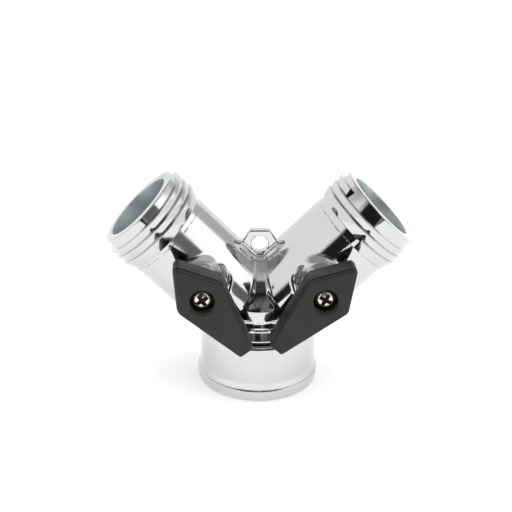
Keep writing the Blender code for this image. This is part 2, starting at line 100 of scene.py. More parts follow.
def arm_frame(side, along=0.0):
    """Z along an arm, out of the crossing, in millimetres."""
    base = Matrix.Translation((0, 0, CROSSING_Z)) @ Matrix.Rotation(side * ARM_ANGLE, 4, "Y")
    return base @ Matrix.Translation((0, 0, along))


def valve_frame(side, turn=0.0):
    """Z along a valve's axis, out to the lever, with X to the right and Y up as the levers are faced."""
    centre = Vector((side * VALVE.x, 0, VALVE.z))
    facing = Matrix.Rotation(math.radians(90), 4, "X")
    return Matrix.Translation(centre) @ facing @ Matrix.Rotation(turn, 4, "Z")


print(f"arms lean {math.degrees(ARM_ANGLE):.1f} degrees, reach {ARM_LENGTH:.2f} mm from z {CROSSING_Z:.2f}")

# %% [markdown]
# ## The camera
#
# The piece is seen from a little above, with the lens of a small product shot: about 77 mm, a hand's
# length and a half away, turned a few degrees to the left and rolled by one degree.

# %% Place the camera
CAMERA_DISTANCE = 288.3
CAMERA_ELEVATION = math.radians(23.24)
CAMERA_AZIMUTH = math.radians(-3.35)
CAMERA_ROLL = math.radians(1.12)
CAMERA_LENS = 76.86
CAMERA_TARGET = Vector((-0.87, 0.0, 34.78))

back = Vector((
    math.sin(CAMERA_AZIMUTH) * math.cos(CAMERA_ELEVATION),
    -math.cos(CAMERA_AZIMUTH) * math.cos(CAMERA_ELEVATION),
    math.sin(CAMERA_ELEVATION),
))
side_way = (-back).cross(Vector((0, 0, 1))).normalized()
up_way = side_way.cross(-back)
right = math.cos(CAMERA_ROLL) * side_way + math.sin(CAMERA_ROLL) * up_way
up = -math.sin(CAMERA_ROLL) * side_way + math.cos(CAMERA_ROLL) * up_way
camera_data = bpy.data.cameras.new("camera")
camera_data.lens = CAMERA_LENS
camera_data.clip_start = 0.01
camera = bpy.data.objects.new("camera", camera_data)
turn = Matrix((right, up, back)).transposed().to_4x4()
place = AXIS + (CAMERA_TARGET + back * CAMERA_DISTANCE) * MM
camera.matrix_world = Matrix.Translation(place) @ turn
bpy.context.scene.collection.objects.link(camera)
bpy.context.scene.camera = camera
print("camera at", [round(value, 4) for value in place])

# %% [markdown]
# ## Floor and light
#
# Bright chrome has no colour of its own: it is a picture of the room. So the room is drawn with care: a pale
# wall all round, a greyer ceiling, a bright softbox to the right, and the dark gap that the camera looks
# through. Each is a soft rectangle in the world's own shading. The lamp overhead lights the floor and the
# plastic, and isn't mirrored in the chrome.
# Seen straight on, from any side, the tent is a plain pale backdrop: its panels only show as reflections.

# %% Floor
FLOOR_SIZE = 4.0
FLOOR_FRONT = 0.5          # how far it reaches in front of the piece, in metres
FLOOR_GLOW = 0.5           # a light table from below, so that shadows stay faint


def make_floor():
    """A pale floor just under the nut."""
    bm = bmesh.new()
    bmesh.ops.create_grid(bm, x_segments=1, y_segments=1, size=FLOOR_SIZE / 2)
    mesh = bpy.data.meshes.new("floor")
    bm.to_mesh(mesh)
    bm.free()
    floor = bpy.data.objects.new("floor", mesh)
    floor.location = (0, FLOOR_SIZE / 2 - FLOOR_FRONT, -0.0001)
    bpy.context.scene.collection.objects.link(floor)
    material = bpy.data.materials.new("pale_floor")
    material.use_nodes = True
    shader = material.node_tree.nodes["Principled BSDF"]
    shader.inputs["Base Color"].default_value = (0.55, 0.55, 0.55, 1)
    shader.inputs["Emission Color"].default_value = (1.0, 1.0, 1.0, 1)
    shader.inputs["Emission Strength"].default_value = FLOOR_GLOW
    shader.inputs["Roughness"].default_value = 0.9
    shader.inputs["Specular IOR Level"].default_value = 0.1
    mesh.materials.append(material)
    return floor


make_floor()


# %% The tent
def direction(azimuth, elevation):
    """A unit vector: azimuth 0 is towards -Y, the front, and turns towards +X."""
    a, e = math.radians(azimuth), math.radians(elevation)
    return (math.sin(a) * math.cos(e), -math.cos(a) * math.cos(e), math.sin(e))


WALL = 1.08
CEILING = 0.38
CEILING_STARTS = (36.0, 52.0)
PANELS = [
    # azimuth, elevation, half width, half height, soft edge (all in degrees), brightness
    (58, 64, 34, 18, 12, 0.66),
    (125, 22, 17, 14, 8, 0.62),
    (-10, 50, 26, 12, 9, 0.22),
    (0, 44, 15, 20, 8, 0.06),
    (24, 12, 19, 19, 5, 0.17),
    (-14, 12, 19, 26, 7, 0.018),
    (70, 28, 27, 13, 4, 1.60),
]


def add_node(tree, kind, inputs=None, **settings):
    """A new node with its settings. An input is given as a plain value, or as a socket to link from."""
    node = tree.nodes.new(kind)
    for name, value in settings.items():
        setattr(node, name, value)
    for name, value in (inputs or {}).items():
        if isinstance(value, bpy.types.NodeSocket):
            tree.links.new(value, node.inputs[name])
        else:
            node.inputs[name].default_value = value
    return node


def math_node(tree, operation, first, second):
    """The result of a Math node whose two inputs are sockets or plain numbers."""
    return add_node(tree, "ShaderNodeMath", {0: first, 1: second}, operation=operation).outputs[0]


def soft_step(tree, value, edge, width, low, high):
    """Blend from one level to another where a value passes an edge."""
    levels = {"Value": value, "From Min": edge - width / 2, "From Max": edge + width / 2,
              "To Min": low, "To Max": high}
    return add_node(tree, "ShaderNodeMapRange", levels, interpolation_type="SMOOTHSTEP").outputs["Result"]


def aimed(tree, where, axis):
    """How far a direction points along an axis, from -1 to 1."""
    aim = add_node(tree, "ShaderNodeVectorMath", {0: where, 1: axis}, operation="DOT_PRODUCT")
    return aim.outputs["Value"]


def blend(tree, light, goal, mask):
    """Move a brightness to a goal as far as a mask says."""
    change = math_node(tree, "SUBTRACT", goal, light)
    return math_node(tree, "ADD", light, math_node(tree, "MULTIPLY", change, mask))


def panel_mask(tree, where, azimuth, elevation, half_width, half_height, soft):
    """One inside a soft rectangle in the sky, nought outside it."""
    towards = Vector(direction(azimuth, elevation))
    across = Vector(direction(azimuth + 90, 0))
    upright = towards.cross(across)
    mask = soft_step(tree, aimed(tree, where, towards), 0.1, 0.1, 0.0, 1.0)
    for axis, half in ((across, half_width), (upright, half_height)):
        reach = math_node(tree, "ABSOLUTE", aimed(tree, where, axis), 0.0)
        inside = soft_step(tree, reach, math.sin(math.radians(half)), math.radians(soft), 1.0, 0.0)
        mask = math_node(tree, "MULTIPLY", mask, inside)
    return mask


def make_tent():
    """World shading: a pale wall all round, a greyer ceiling, and soft panels over both."""
    world = bpy.data.worlds.new("light_tent")
    world.use_nodes = True
    tree = world.node_tree
    where = add_node(tree, "ShaderNodeTexCoord").outputs["Generated"]
    low, high = (math.sin(math.radians(angle)) for angle in CEILING_STARTS)
    light = soft_step(tree, aimed(tree, where, (0, 0, 1)), (low + high) / 2, high - low, WALL, CEILING)
    for *shape, brightness in PANELS:
        light = blend(tree, light, brightness, panel_mask(tree, where, *shape))
    seen = add_node(tree, "ShaderNodeLightPath").outputs["Is Camera Ray"]
    tree.links.new(blend(tree, light, WALL, seen), tree.nodes["Background"].inputs["Color"])
    bpy.context.scene.world = world
    bpy.context.scene.view_settings.view_transform = "Standard"
    return len(PANELS)


print("tent with", make_tent(), "panels")


# %% Lamp
def add_lamp(name, towards, distance, size, watts):
    """A square area lamp that faces the middle of the fitting, but isn't mirrored in the chrome."""
    data = bpy.data.lights.new(name, "AREA")
    data.size = size
    data.energy = watts
    lamp = bpy.data.objects.new(name, data)
    centre = (cad_box[0] + cad_box[1]) / 2
    lamp.location = centre + Vector(towards) * distance
    lamp.rotation_euler = Vector(towards).to_track_quat("Z", "Y").to_euler()
    lamp.visible_glossy = False
    bpy.context.scene.collection.objects.link(lamp)
    return lamp


add_lamp("top_lamp", direction(20, 76), 0.9, 1.2, 11.0)
print("one lamp overhead")

# %% [markdown]
# ## Shared surface effects
#
# Three effects come back in several finishes, so each is a shader node group, built once. "cast ripple"
# is the faint waviness that a casting keeps under its plating. "fine grain" is the spark-eroded texture of
# a plastic mould. "handling wear" brightens or dulls a finish in soft patches. Each puts out only a value
# for the material to use.

# %% Node groups
def new_group(name, inputs, output):
    """A shader node group with named float inputs and one output, and the sockets to link inside it."""
    group = bpy.data.node_groups.new(name, "ShaderNodeTree")
    for label, value in inputs.items():
        socket = group.interface.new_socket(label, in_out="INPUT", socket_type="NodeSocketFloat")
        socket.default_value = value
    group.interface.new_socket(output, in_out="OUTPUT", socket_type="NodeSocketFloat")
    given = group.nodes.new("NodeGroupInput").outputs
    return group, given, group.nodes.new("NodeGroupOutput").inputs[output]


def object_place(tree):
    """Where a point lies on its own object."""
    return add_node(tree, "ShaderNodeTexCoord").outputs["Object"]


def noise(tree, scale, detail, roughness=0.5):
    """A 3-D noise from 0 to 1 on the object's own coordinates."""
    levels = {"Vector": object_place(tree), "Scale": scale, "Detail": detail, "Roughness": roughness}
    return add_node(tree, "ShaderNodeTexNoise", levels).outputs["Fac"]


def cast_ripple_group():
    """Height of a slow wave plus a little orange peel, in the units of a Bump node."""
    inputs = {"Wave Scale": 180.0, "Peel Scale": 1400.0, "Peel": 0.25}
    tree, given, height = new_group("cast ripple", inputs, "Height")
    wave = noise(tree, given["Wave Scale"], 1.0)
    peel = math_node(tree, "MULTIPLY", noise(tree, given["Peel Scale"], 2.0), given["Peel"])
    tree.links.new(math_node(tree, "ADD", wave, peel), height)
    return tree


def fine_grain_group():
    """Height of a moulded grain: many small cells, and slower unevenness under them."""
    tree, given, height = new_group("fine grain", {"Scale": 3200.0, "Unevenness": 0.35}, "Height")
    levels = {"Vector": object_place(tree), "Scale": given["Scale"]}
    cells = add_node(tree, "ShaderNodeTexVoronoi", levels).outputs["Distance"]
    uneven = math_node(tree, "MULTIPLY", noise(tree, 420.0, 3.0), given["Unevenness"])
    tree.links.new(math_node(tree, "ADD", cells, uneven), height)
    return tree


def handling_wear_group():
    """A value that drifts between two levels in soft smudges broken up by fine specks."""
    inputs = {"Scale": 70.0, "Coverage": 0.45, "Low": 0.0, "High": 1.0}
    tree, given, drift = new_group("handling wear", inputs, "Value")
    smudge = noise(tree, given["Scale"], 4.0, 0.6)
    levels = {"Value": smudge, "From Min": given["Coverage"], "From Max": 0.75}
    shaped = add_node(tree, "ShaderNodeMapRange", levels, interpolation_type="SMOOTHSTEP").outputs["Result"]
    levels = {"Value": shaped, "To Min": given["Low"], "To Max": given["High"]}
    tree.links.new(add_node(tree, "ShaderNodeMapRange", levels).outputs["Result"], drift)
    return tree


RIPPLE = cast_ripple_group()
GRAIN = fine_grain_group()
WEAR = handling_wear_group()
print("groups:", RIPPLE.name, "/", GRAIN.name, "/", WEAR.name)

# %% [markdown]
# ## Finishes
#
# Each finish is one material: the shader stays in the material, and the groups above feed its roughness
# and its bump. Chrome has a very low roughness, so nearly all its looks come from the tent and from the
# ripple. Its colour is greyer than real chrome, because the floor shines brighter than white paper.

# %% Materials
CHROME = (0.62, 0.625, 0.63)


def finish(name, colour, metallic, roughness, drift, bump, inputs=None, **levels):
    """A Principled material, with a drift (low, high, scale) of its roughness and a bump on its normal.

    The bump is (height group, strength, distance), and inputs holds the height group's own values.
    """
    material = bpy.data.materials.new(name)
    material.use_nodes = True
    tree = material.node_tree
    shader = tree.nodes["Principled BSDF"]
    levels = {"Base Color": (*colour, 1), "Metallic": metallic, "Roughness": roughness, **levels}
    for label, value in levels.items():
        shader.inputs[label.replace("_", " ")].default_value = value
    group, strength, distance = bump
    height = add_node(tree, "ShaderNodeGroup", node_tree=group)
    for label, value in (inputs or {}).items():
        height.inputs[label].default_value = value
    levels = {"Strength": strength, "Distance": distance, "Height": height.outputs["Height"]}
    tree.links.new(add_node(tree, "ShaderNodeBump", levels).outputs["Normal"], shader.inputs["Normal"])
    low, high, scale = drift
    wear = add_node(tree, "ShaderNodeGroup", {"Low": low, "High": high, "Scale": scale}, node_tree=WEAR)
    tree.links.new(wear.outputs["Value"], shader.inputs["Roughness"])
    return material


cast_chrome = finish("cast_chrome", CHROME, 1.0, 0.07, (0.05, 0.16, 70.0), (RIPPLE, 0.25, 0.00008))
turned_chrome = finish("turned_chrome", CHROME, 1.0, 0.07, (0.06, 0.15, 70.0), (RIPPLE, 0.12, 0.00005),
                       {"Wave Scale": 90.0, "Peel": 0.15})
raw_zinc = finish("raw_zinc", (0.60, 0.66, 0.67), 0.85, 0.38, (0.34, 0.55, 120.0), (RIPPLE, 0.5, 0.0001),
                  {"Wave Scale": 260.0, "Peel": 0.6})
lever_plastic = finish("lever_plastic", (0.014, 0.0135, 0.0125), 0.0, 0.5, (0.44, 0.62, 160.0),
                       (GRAIN, 0.35, 0.00004), Specular_IOR_Level=0.4)
screw_nickel = finish("screw_nickel", (0.78, 0.72, 0.62), 1.0, 0.22, (0.16, 0.38, 400.0),
                      (RIPPLE, 0.1, 0.00003), {"Wave Scale": 600.0})
# painted shade: a near-black finish for the bottom of the screws' cross recess, where little light reaches
cross_painted_shade = finish("cross_painted_shade", (0.03, 0.022, 0.016), 0.4, 0.6, (0.5, 0.7, 400.0),
                      (RIPPLE, 0.2, 0.00003), {"Wave Scale": 600.0})
brass = finish("brass", (0.72, 0.55, 0.27), 1.0, 0.28, (0.2, 0.42, 200.0), (RIPPLE, 0.2, 0.00004),
               {"Wave Scale": 400.0})
washer_rubber = finish("washer_rubber", (0.022, 0.022, 0.022), 0.0, 0.72, (0.62, 0.82, 90.0),
                       (GRAIN, 0.4, 0.00005), {"Scale": 2200.0})
seat_plastic = finish("seat_plastic", (0.82, 0.82, 0.79), 0.0, 0.45, (0.38, 0.55, 120.0),
                      (GRAIN, 0.2, 0.00003))
spring_steel = finish("spring_steel", (0.50, 0.50, 0.49), 1.0, 0.32, (0.25, 0.45, 200.0),
                      (RIPPLE, 0.3, 0.00004), {"Wave Scale": 500.0})
print(len(bpy.data.materials), "materials")

# %% [markdown]
# ## Turned shapes
#
# Most pieces were made on a lathe, so one helper covers them: it rounds the corners of a profile and turns
# it round Z. A tiny radius on each edge is what makes a real edge glint, so no edge is left sharp.

# %% Lathe helpers
def new_piece(name, mesh, *materials, sharp=35.0):
    """Link an object at the origin for a mesh that is already in place."""
    for material in materials:
        mesh.materials.append(material)
    mesh.shade_smooth()
    mesh.set_sharp_from_angle(angle=math.radians(sharp))
    obj = bpy.data.objects.new(name, mesh)
    bpy.context.scene.collection.objects.link(obj)
    return obj


def dress(piece, node, body):
    """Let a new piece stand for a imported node."""
    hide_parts(node)
    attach(piece, body)
    return piece


def dress_body(piece):
    """Let a new piece stand for some of the casting."""
    return dress(piece, "body", "splitter_body")


def to_frame(matrix):
    """From millimetres in a local frame to metres in the model's frame."""
    return Matrix.Translation(AXIS) @ Matrix.Scale(MM, 4) @ matrix


def rounded(corners, per_corner=4):
    """Round the corners (x, y, radius) of an outline with arcs. It may turn either way."""
    outline = []
    for index, (x, y, radius) in enumerate(corners):
        corner = Vector((x, y))
        before = (Vector(corners[index - 1][:2]) - corner).normalized()
        after = (Vector(corners[(index + 1) % len(corners)][:2]) - corner).normalized()
        half = before.angle(after) / 2
        if radius == 0:
            outline.append((x, y))
            continue
        middle = corner + (before + after).normalized() * radius / math.sin(half)
        start = corner + before * radius / math.tan(half) - middle
        left_turn = before.x * after.y - before.y * after.x < 0
        sweep = (math.pi - 2 * half) * (1 if left_turn else -1)
        for step in range(per_corner + 1):
            outline.append(tuple(middle + Matrix.Rotation(sweep * step / per_corner, 2) @ start))
    return outline


def turned_bmesh(profile, steps, matrix=Matrix()):
    """Turn a closed profile of (radius, height) round Z. Points on the axis become single points."""
    bm = bmesh.new()
    rings = []
    for radius, height in profile:
        if radius < 1e-6:
            rings.append([bm.verts.new((0, 0, height))] * steps)
            continue
        angles = [math.tau * step / steps for step in range(steps)]
        rings.append([bm.verts.new((radius * math.cos(a), radius * math.sin(a), height)) for a in angles])
    for first, second in zip(rings, rings[1:] + rings[:1]):
        for step in range(steps):
            after = (step + 1) % steps
            corners = dict.fromkeys([first[step], first[after], second[after], second[step]])
            if len(corners) > 2:
                bm.faces.new(corners)
    bmesh.ops.recalc_face_normals(bm, faces=bm.faces)
    bm.transform(matrix)
    return bm


def to_mesh(bm, name, matrix=Matrix()):
    """Write a bmesh in local millimetres as a mesh in the model's frame."""
    bm.transform(to_frame(matrix))
    mesh = bpy.data.meshes.new(name)
    bm.to_mesh(mesh)
    bm.free()
    return mesh


def turned_piece(name, corners, matrix, *materials, steps=96, per_corner=4):
    """A turned piece from the rounded corners of its profile."""
    bm = turned_bmesh(rounded(corners, per_corner), steps)
    return new_piece(name, to_mesh(bm, name, matrix), *materials)


def bare_inside(piece, matrix, radius, top=math.inf):
    """Give the second material to the faces nearer to a frame's axis than a radius, below a height."""
    into = matrix.inverted()
    for face in piece.data.polygons:
        local = into @ in_mm(face.center)
        face.material_index = int(math.hypot(local.x, local.y) < radius and local.z < top)
    return piece


def cut(obj, other):
    """Cut one object out of another, and remove what it was cut with."""
    modifier = obj.modifiers.new("cut", "BOOLEAN")
    modifier.operation = "DIFFERENCE"
    modifier.object = other
    modifier.solver = "EXACT"
    bpy.context.view_layer.update()
    graph = bpy.context.evaluated_depsgraph_get()
    mesh = bpy.data.meshes.new_from_object(obj.evaluated_get(graph))
    obj.modifiers.clear()
    obj.data = mesh
    bpy.data.objects.remove(other, do_unlink=True)
    return obj


def box_bmesh(size, centre):
    """A box in local millimetres."""
    bm = bmesh.new()
    bmesh.ops.create_cube(bm, size=1.0)
    bmesh.ops.scale(bm, vec=size, verts=bm.verts)
    bmesh.ops.translate(bm, vec=centre, verts=bm.verts)
    return bm


def tool(name, bm, matrix):
    """An object made only to be cut with. The cut removes it."""
    return new_piece(name, to_mesh(bm, name, matrix))


def block(name, size, centre, matrix):
    """A box in a local frame, for cutting."""
    return tool(name, box_bmesh(size, centre), matrix)


def shade_again(obj, sharp=35.0):
    """Smooth shading after a cut."""
    obj.data.shade_smooth()
    obj.data.set_sharp_from_angle(angle=math.radians(sharp))
    return obj


print("lathe helpers ready")

# %% [markdown]
# ## The casting as a field of distances
#
# A casting has a fillet wherever two shapes meet, because sharp inner corners crack and won't fill. Bevels
# on the curved seams of two crossing tubes are hard to control, so the Y is described as a distance field
# instead: a number at each point that says how far the surface is. Joining two fields with a round corner
# gives a true fillet of a chosen radius everywhere at once.

# %% Field tools
def join(first, second, fillet):
    """Both solids, with a fillet of that radius where they meet."""
    a = np.maximum(fillet - first, 0)
    b = np.maximum(fillet - second, 0)
    return np.maximum(fillet, np.minimum(first, second)) - np.hypot(a, b)


def overlap(first, second, edge):
    """Only what both solids hold, with its edge rounded to that radius."""
    return -join(-first, -second, edge)


def take_away(first, second, edge):
    """The first solid without the second, with the new edge rounded."""
    return overlap(first, -second, edge)


def bar(radial, along, radius, low, high, edge):
    """A round bar from its radial distance and its place along the axis."""
    return overlap(radial - radius, np.abs(along - (low + high) / 2) - (high - low) / 2, edge)


# %% [markdown]
# ## The shapes in the casting
#
# Two round arms cross above the nut. A short neck carries a thin flange, each arm has a round boss for its
# valve stem, a flat tab with a hole stands in the crotch, and a web runs down the valley from it. The arms
# are cut off flat above the neck, and their lower edges are rounded.

# %% Sizes of the casting, in millimetres
body_low, body_high = (in_mm(corner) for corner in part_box("body"))
ARM_R = 12.19
ARM_TAIL = 14.0            # how far an arm runs past the crossing, into the other arm
ROOT_R = 12.05
CREST_R = 13.4
THREAD_ZONE = 10.6         # from the mouth back to the step where the turned end starts
CHAMBER_R = 9.58
CHAMBER_FLOOR = 12.6
PORT_R = 5.6
PORT_START = 2.0           # where each arm's port leaves the neck's bore
NECK_R = 12.8
NECK_TOP = 25.4
NECK_CHAMFER = 0.45        # how much the neck spreads onto the flange
NECK_TAPER = 0.11          # what the neck loses in radius per millimetre upwards
NECK_BORE_R = 7.5
FLANGE_R = 13.35
FLANGE_BOTTOM = 18.5
FLANGE_TOP = 19.5
SHOULDER_Z = 20.6
TAIL_R = 10.6
BOSS_R = 5.9
BOSS_TOP = 16.6
BOSS_FOOT = 5.0            # sunk in the arm
STEM_HOLE_R = 3.85
SPOT_FACE_R = 4.75
SPOT_FACE_TOP = 11.0
STEM_HOLE_FOOT = 6.0       # both holes start in the arm's chamber
TAB_HALF = 1.25
TAB_TOP = 42.5
TAB_FOOT = 30.0
TAB_HALF_WIDTH = 4.6
TAB_CLIP = (39.4, 3.1, 1.9)   # where the clipped corner starts, and the rise and run of its slope
TAB_HOLE = (38.7, 2.2)     # height and radius
WEB = (14.2, 1.0)          # half length of its ellipse, and how far it stands out of the valley
WEB_LIMIT = 12.85          # its foot is flat here, just proud of the neck
WEB_HALF_WIDTHS = (2.8, 1.6)
WEB_FLARE = (1.7, 25.0, 28.4)   # extra half width of the foot, and the heights it fades between
WEB_FOOT = (22.0, 26.0)    # where the web stops, and where its taper starts
CROTCH_FILLET = 1.6
NECK_FILLET = 1.0
WEB_FILLET = 0.7
TAB_FILLET = 0.8
BOSS_FILLET = 2.2
SHOULDER_EDGE = 1.3
BORE_EDGE = 0.22
ARM_END = ARM_LENGTH - THREAD_ZONE
print(f"casting from z {body_low.z:.1f} to {body_high.z:.1f} mm")


# %% The field
def arm_places(x, y, z, side):
    """Distance from an arm's axis, and place along it."""
    sine, cosine = math.sin(ARM_ANGLE), math.cos(ARM_ANGLE)
    along = side * x * sine + (z - CROSSING_Z) * cosine
    across = side * x * cosine - (z - CROSSING_Z) * sine
    return np.hypot(across, y), along


def tab_field(x, y, z):
    """The flat tab with clipped corners, in the plane between the arms."""
    start, rise, run = TAB_CLIP
    past_side = np.abs(x) - TAB_HALF_WIDTH
    flank = (past_side * rise + (z - start) * run) / math.hypot(rise, run)
    outline = overlap(overlap(z - TAB_TOP, flank, 0.5), past_side, 0.5)
    outline = np.maximum(outline, TAB_FOOT - z)
    return overlap(outline, np.abs(y) - TAB_HALF, 0.3)


def web_field(x, y, z):
    """The web down the valley: an ellipse seen from the side, wider towards its foot."""
    reach, proud = WEB
    foot, taper_start = WEB_FOOT
    rise = ARM_R / math.sin(ARM_ANGLE) + proud
    height = z - CROSSING_Z
    near = np.hypot(y / reach, height / rise)
    slope = np.hypot(y / reach ** 2, height / rise ** 2) + 1e-9
    side_view = near * (near - 1) / slope
    side_view = overlap(side_view, np.abs(y) - WEB_LIMIT, 2.2)
    share = np.clip((z - taper_start) / (CROSSING_Z + rise - taper_start), 0, 1)
    flare, flare_low, flare_high = WEB_FLARE
    fade = np.clip((flare_high - z) / (flare_high - flare_low), 0, 1)
    wide, narrow = WEB_HALF_WIDTHS
    width = np.abs(x) - (wide + (narrow - wide) * share) - flare * fade ** 2 * (3 - 2 * fade)
    return overlap(np.maximum(side_view, foot - z), width, 1.2)


def outside_field(x, y, z):
    """The outer skin of the casting, with its fillets."""
    radial = np.hypot(x, y)
    arms = None
    for side in SIDES.values():
        distance, along = arm_places(x, y, z, side)
        arm = np.maximum(distance - ARM_R, np.maximum(along - ARM_END, -ARM_TAIL - along))
        arms = arm if arms is None else join(arms, arm, CROTCH_FILLET)
    arms = overlap(arms, SHOULDER_Z - z, SHOULDER_EDGE)
    chamfer_top = SHOULDER_Z + 0.3
    spread = NECK_CHAMFER * np.clip((chamfer_top - z) / (chamfer_top - FLANGE_TOP), 0, 1)
    neck_r = NECK_R + spread - NECK_TAPER * np.clip(z - SHOULDER_Z, 0, None)
    neck = bar(radial, z, neck_r, FLANGE_BOTTOM + 0.2, NECK_TOP, 1.4)
    flange = bar(radial, z, FLANGE_R, FLANGE_BOTTOM, FLANGE_TOP, 0.25)
    solid = join(arms, np.minimum(neck, flange), NECK_FILLET)
    solid = join(solid, web_field(x, y, z), WEB_FILLET)
    solid = join(solid, tab_field(x, y, z), TAB_FILLET)
    for side in SIDES.values():
        offset = np.hypot(x - side * VALVE.x, z - VALVE.z)
        solid = join(solid, bar(offset, -y, BOSS_R, BOSS_FOOT, BOSS_TOP, 0.5), BOSS_FILLET)
    return np.maximum(solid, np.maximum(arm_places(x, y, z, 1)[1], arm_places(x, y, z, -1)[1]) - ARM_END)


def hollow_field(x, y, z):
    """Every bore in the casting."""
    radial = np.hypot(x, y)
    hollow = np.maximum(radial - NECK_BORE_R, z - FLANGE_TOP)
    for side in SIDES.values():
        distance, along = arm_places(x, y, z, side)
        chamber = np.maximum(distance - CHAMBER_R, CHAMBER_FLOOR - along)
        port = np.maximum(distance - PORT_R, np.maximum(along - CHAMBER_FLOOR - 1, PORT_START - along))
        offset = np.hypot(x - side * VALVE.x, z - VALVE.z)
        foot = STEM_HOLE_FOOT + y
        stem_hole = np.maximum(offset - STEM_HOLE_R, foot)
        spot_face = np.maximum(offset - SPOT_FACE_R, np.maximum(foot, -SPOT_FACE_TOP - y))
        for part in (chamber, port, stem_hole, spot_face):
            hollow = np.minimum(hollow, part)
    return np.minimum(hollow, np.hypot(x, z - TAB_HOLE[0]) - TAB_HOLE[1])


def casting_field(x, y, z):
    """The whole casting above the tail."""
    return take_away(outside_field(x, y, z), hollow_field(x, y, z), BORE_EDGE)


# %% [markdown]
# ## From the field to a mesh
#
# A surface net turns the field into a mesh: the space is cut into small cells, each cell that the surface
# crosses gets one point, and neighbouring points are joined by four-sided faces. The points are then slid
# along the field's slope until they lie exactly on the surface, and the same slope gives each point its
# shading normal, so the chrome reflects as if the surface were perfectly smooth.

# %% Surface net
CELL = 0.36


def sample(field, low, high, cell):
    """The field on a regular grid, in slabs that keep the memory small."""
    axes = [np.arange(a, b + cell, cell) for a, b in zip(low, high)]
    values = np.empty([len(axis) for axis in axes])
    for first in range(0, len(axes[0]), 24):
        slab = axes[0][first:first + 24]
        grid = np.meshgrid(slab, axes[1], axes[2], indexing="ij")
        values[first:first + len(slab)] = field(*grid)
    return values, np.array(low, float)


def net_points(values, low, cell):
    """One point for each cell that the surface crosses: the mean of its crossings."""
    inside = values < 0
    corners = [(i, j, k) for i in (0, 1) for j in (0, 1) for k in (0, 1)]
    shape = np.array(values.shape) - 1
    count = sum(inside[i:i + shape[0], j:j + shape[1], k:k + shape[2]].astype(np.int8) for i, j, k in corners)
    cells = np.argwhere((count > 0) & (count < 8))
    index = np.full(shape, -1)
    index[tuple(cells.T)] = np.arange(len(cells))
    total = np.zeros((len(cells), 3))
    hits = np.zeros(len(cells))
    for axis in range(3):
        step = np.eye(3, dtype=int)[axis]
        for corner in corners:
            if corner[axis]:
                continue
            start = cells + corner
            first = values[tuple(start.T)]
            second = values[tuple((start + step).T)]
            crossed = (first < 0) != (second < 0)
            share = np.where(crossed, first / np.where(crossed, first - second, 1), 0)
            total += np.where(crossed[:, None], np.array(corner) + share[:, None] * step, 0)
            hits += crossed
    return low + cell * (cells + total / hits[:, None]), index, inside


def net_faces(index, inside):
    """Four-sided faces round each grid edge that the surface crosses."""
    faces = []
    for axis in range(3):
        u, v = (axis + 1) % 3, (axis + 2) % 3
        step = np.eye(3, dtype=int)
        lengths = np.array(inside.shape)
        lengths[axis] -= 1
        near = inside[tuple(slice(0, n) for n in lengths)]
        far = inside[tuple(slice(int(s), int(s) + n) for s, n in zip(step[axis], lengths))]
        edges = np.argwhere(near != far)
        edges = edges[(edges[:, u] > 0) & (edges[:, v] > 0)]
        edges = edges[(edges[:, u] < inside.shape[u] - 1) & (edges[:, v] < inside.shape[v] - 1)]
        ring = [edges - step[u] - step[v], edges - step[v], edges, edges - step[u]]
        quads = np.stack([index[tuple(corner.T)] for corner in ring], 1)
        outward = near[tuple(edges.T)]
        faces.append(np.where(outward[:, None], quads, quads[:, ::-1]))
    return np.concatenate(faces)


def slope(field, points, reach=0.01):
    """The field's gradient at the points."""
    parts = []
    for axis in range(3):
        shift = np.eye(3)[axis] * reach
        ahead = field(*(points + shift).T)
        behind = field(*(points - shift).T)
        parts.append((ahead - behind) / (2 * reach))
    return np.stack(parts, 1)


def settle_on(field, points, rounds=4):
    """Slide the points onto the surface, and return them with their outward normals."""
    for _ in range(rounds):
        gradient = slope(field, points)
        size = np.maximum((gradient ** 2).sum(1), 0.05)
        move = gradient * (field(*points.T) / size)[:, None]
        length = np.linalg.norm(move, axis=1, keepdims=True)
        points = points - move * np.minimum(1, 0.3 / np.maximum(length, 1e-9))
    gradient = slope(field, points)
    return points, gradient / np.maximum(np.linalg.norm(gradient, axis=1, keepdims=True), 1e-9)


def field_mesh(name, field, low, high, cell):
    """A mesh of the surface of a field, in the model's frame, with exact shading normals."""
    values, base = sample(field, low, high, cell)
    points, index, inside = net_points(values, base, cell)
    faces = net_faces(index, inside)
    points, normals = settle_on(field, points)
    mesh = bpy.data.meshes.new(name)
    mesh.from_pydata((points * MM + np.array(AXIS)).tolist(), [], faces.tolist())
    mesh.shade_smooth()
    mesh.normals_split_custom_set_from_vertices(normals.tolist())
    return mesh, points, faces


# %% The casting
def bore_share(points):
    """True where a point lies on a bore's wall."""
    x, y, z = points.T
    wall = hollow_field(x, y, z) < 0.12
    tab_hole = np.hypot(x, z - TAB_HOLE[0]) < TAB_HOLE[1] + 0.5
    return wall & ~tab_hole


MARGIN = 1.5
ARM_REACH = ARM_END + 3.0
casting_low = (max(body_low.x - MARGIN, -ARM_REACH), body_low.y - MARGIN, FLANGE_BOTTOM - MARGIN)
casting_high = (min(body_high.x + MARGIN, ARM_REACH), body_high.y + MARGIN, body_high.z + MARGIN)
mesh, points, faces = field_mesh("body_casting", casting_field, casting_low, casting_high, CELL)
mesh.materials.append(cast_chrome)
mesh.materials.append(raw_zinc)
in_bore = bore_share(points)[faces].all(1)
mesh.polygons.foreach_set("material_index", in_bore.astype(np.int32))
body_casting = bpy.data.objects.new("body_casting", mesh)
bpy.context.scene.collection.objects.link(body_casting)
dress_body(body_casting)
print("casting:", len(points), "points,", len(faces), "faces")

# %% [markdown]
# ## The neck's tail
#
# Below the flange the neck spreads into a short cone that keeps dirt out of the swivel, then goes on as a
# turned tail inside the nut, with the groove for the ring that holds the nut on. Its top is sunk into the
# casting, so the two read as one piece of metal.

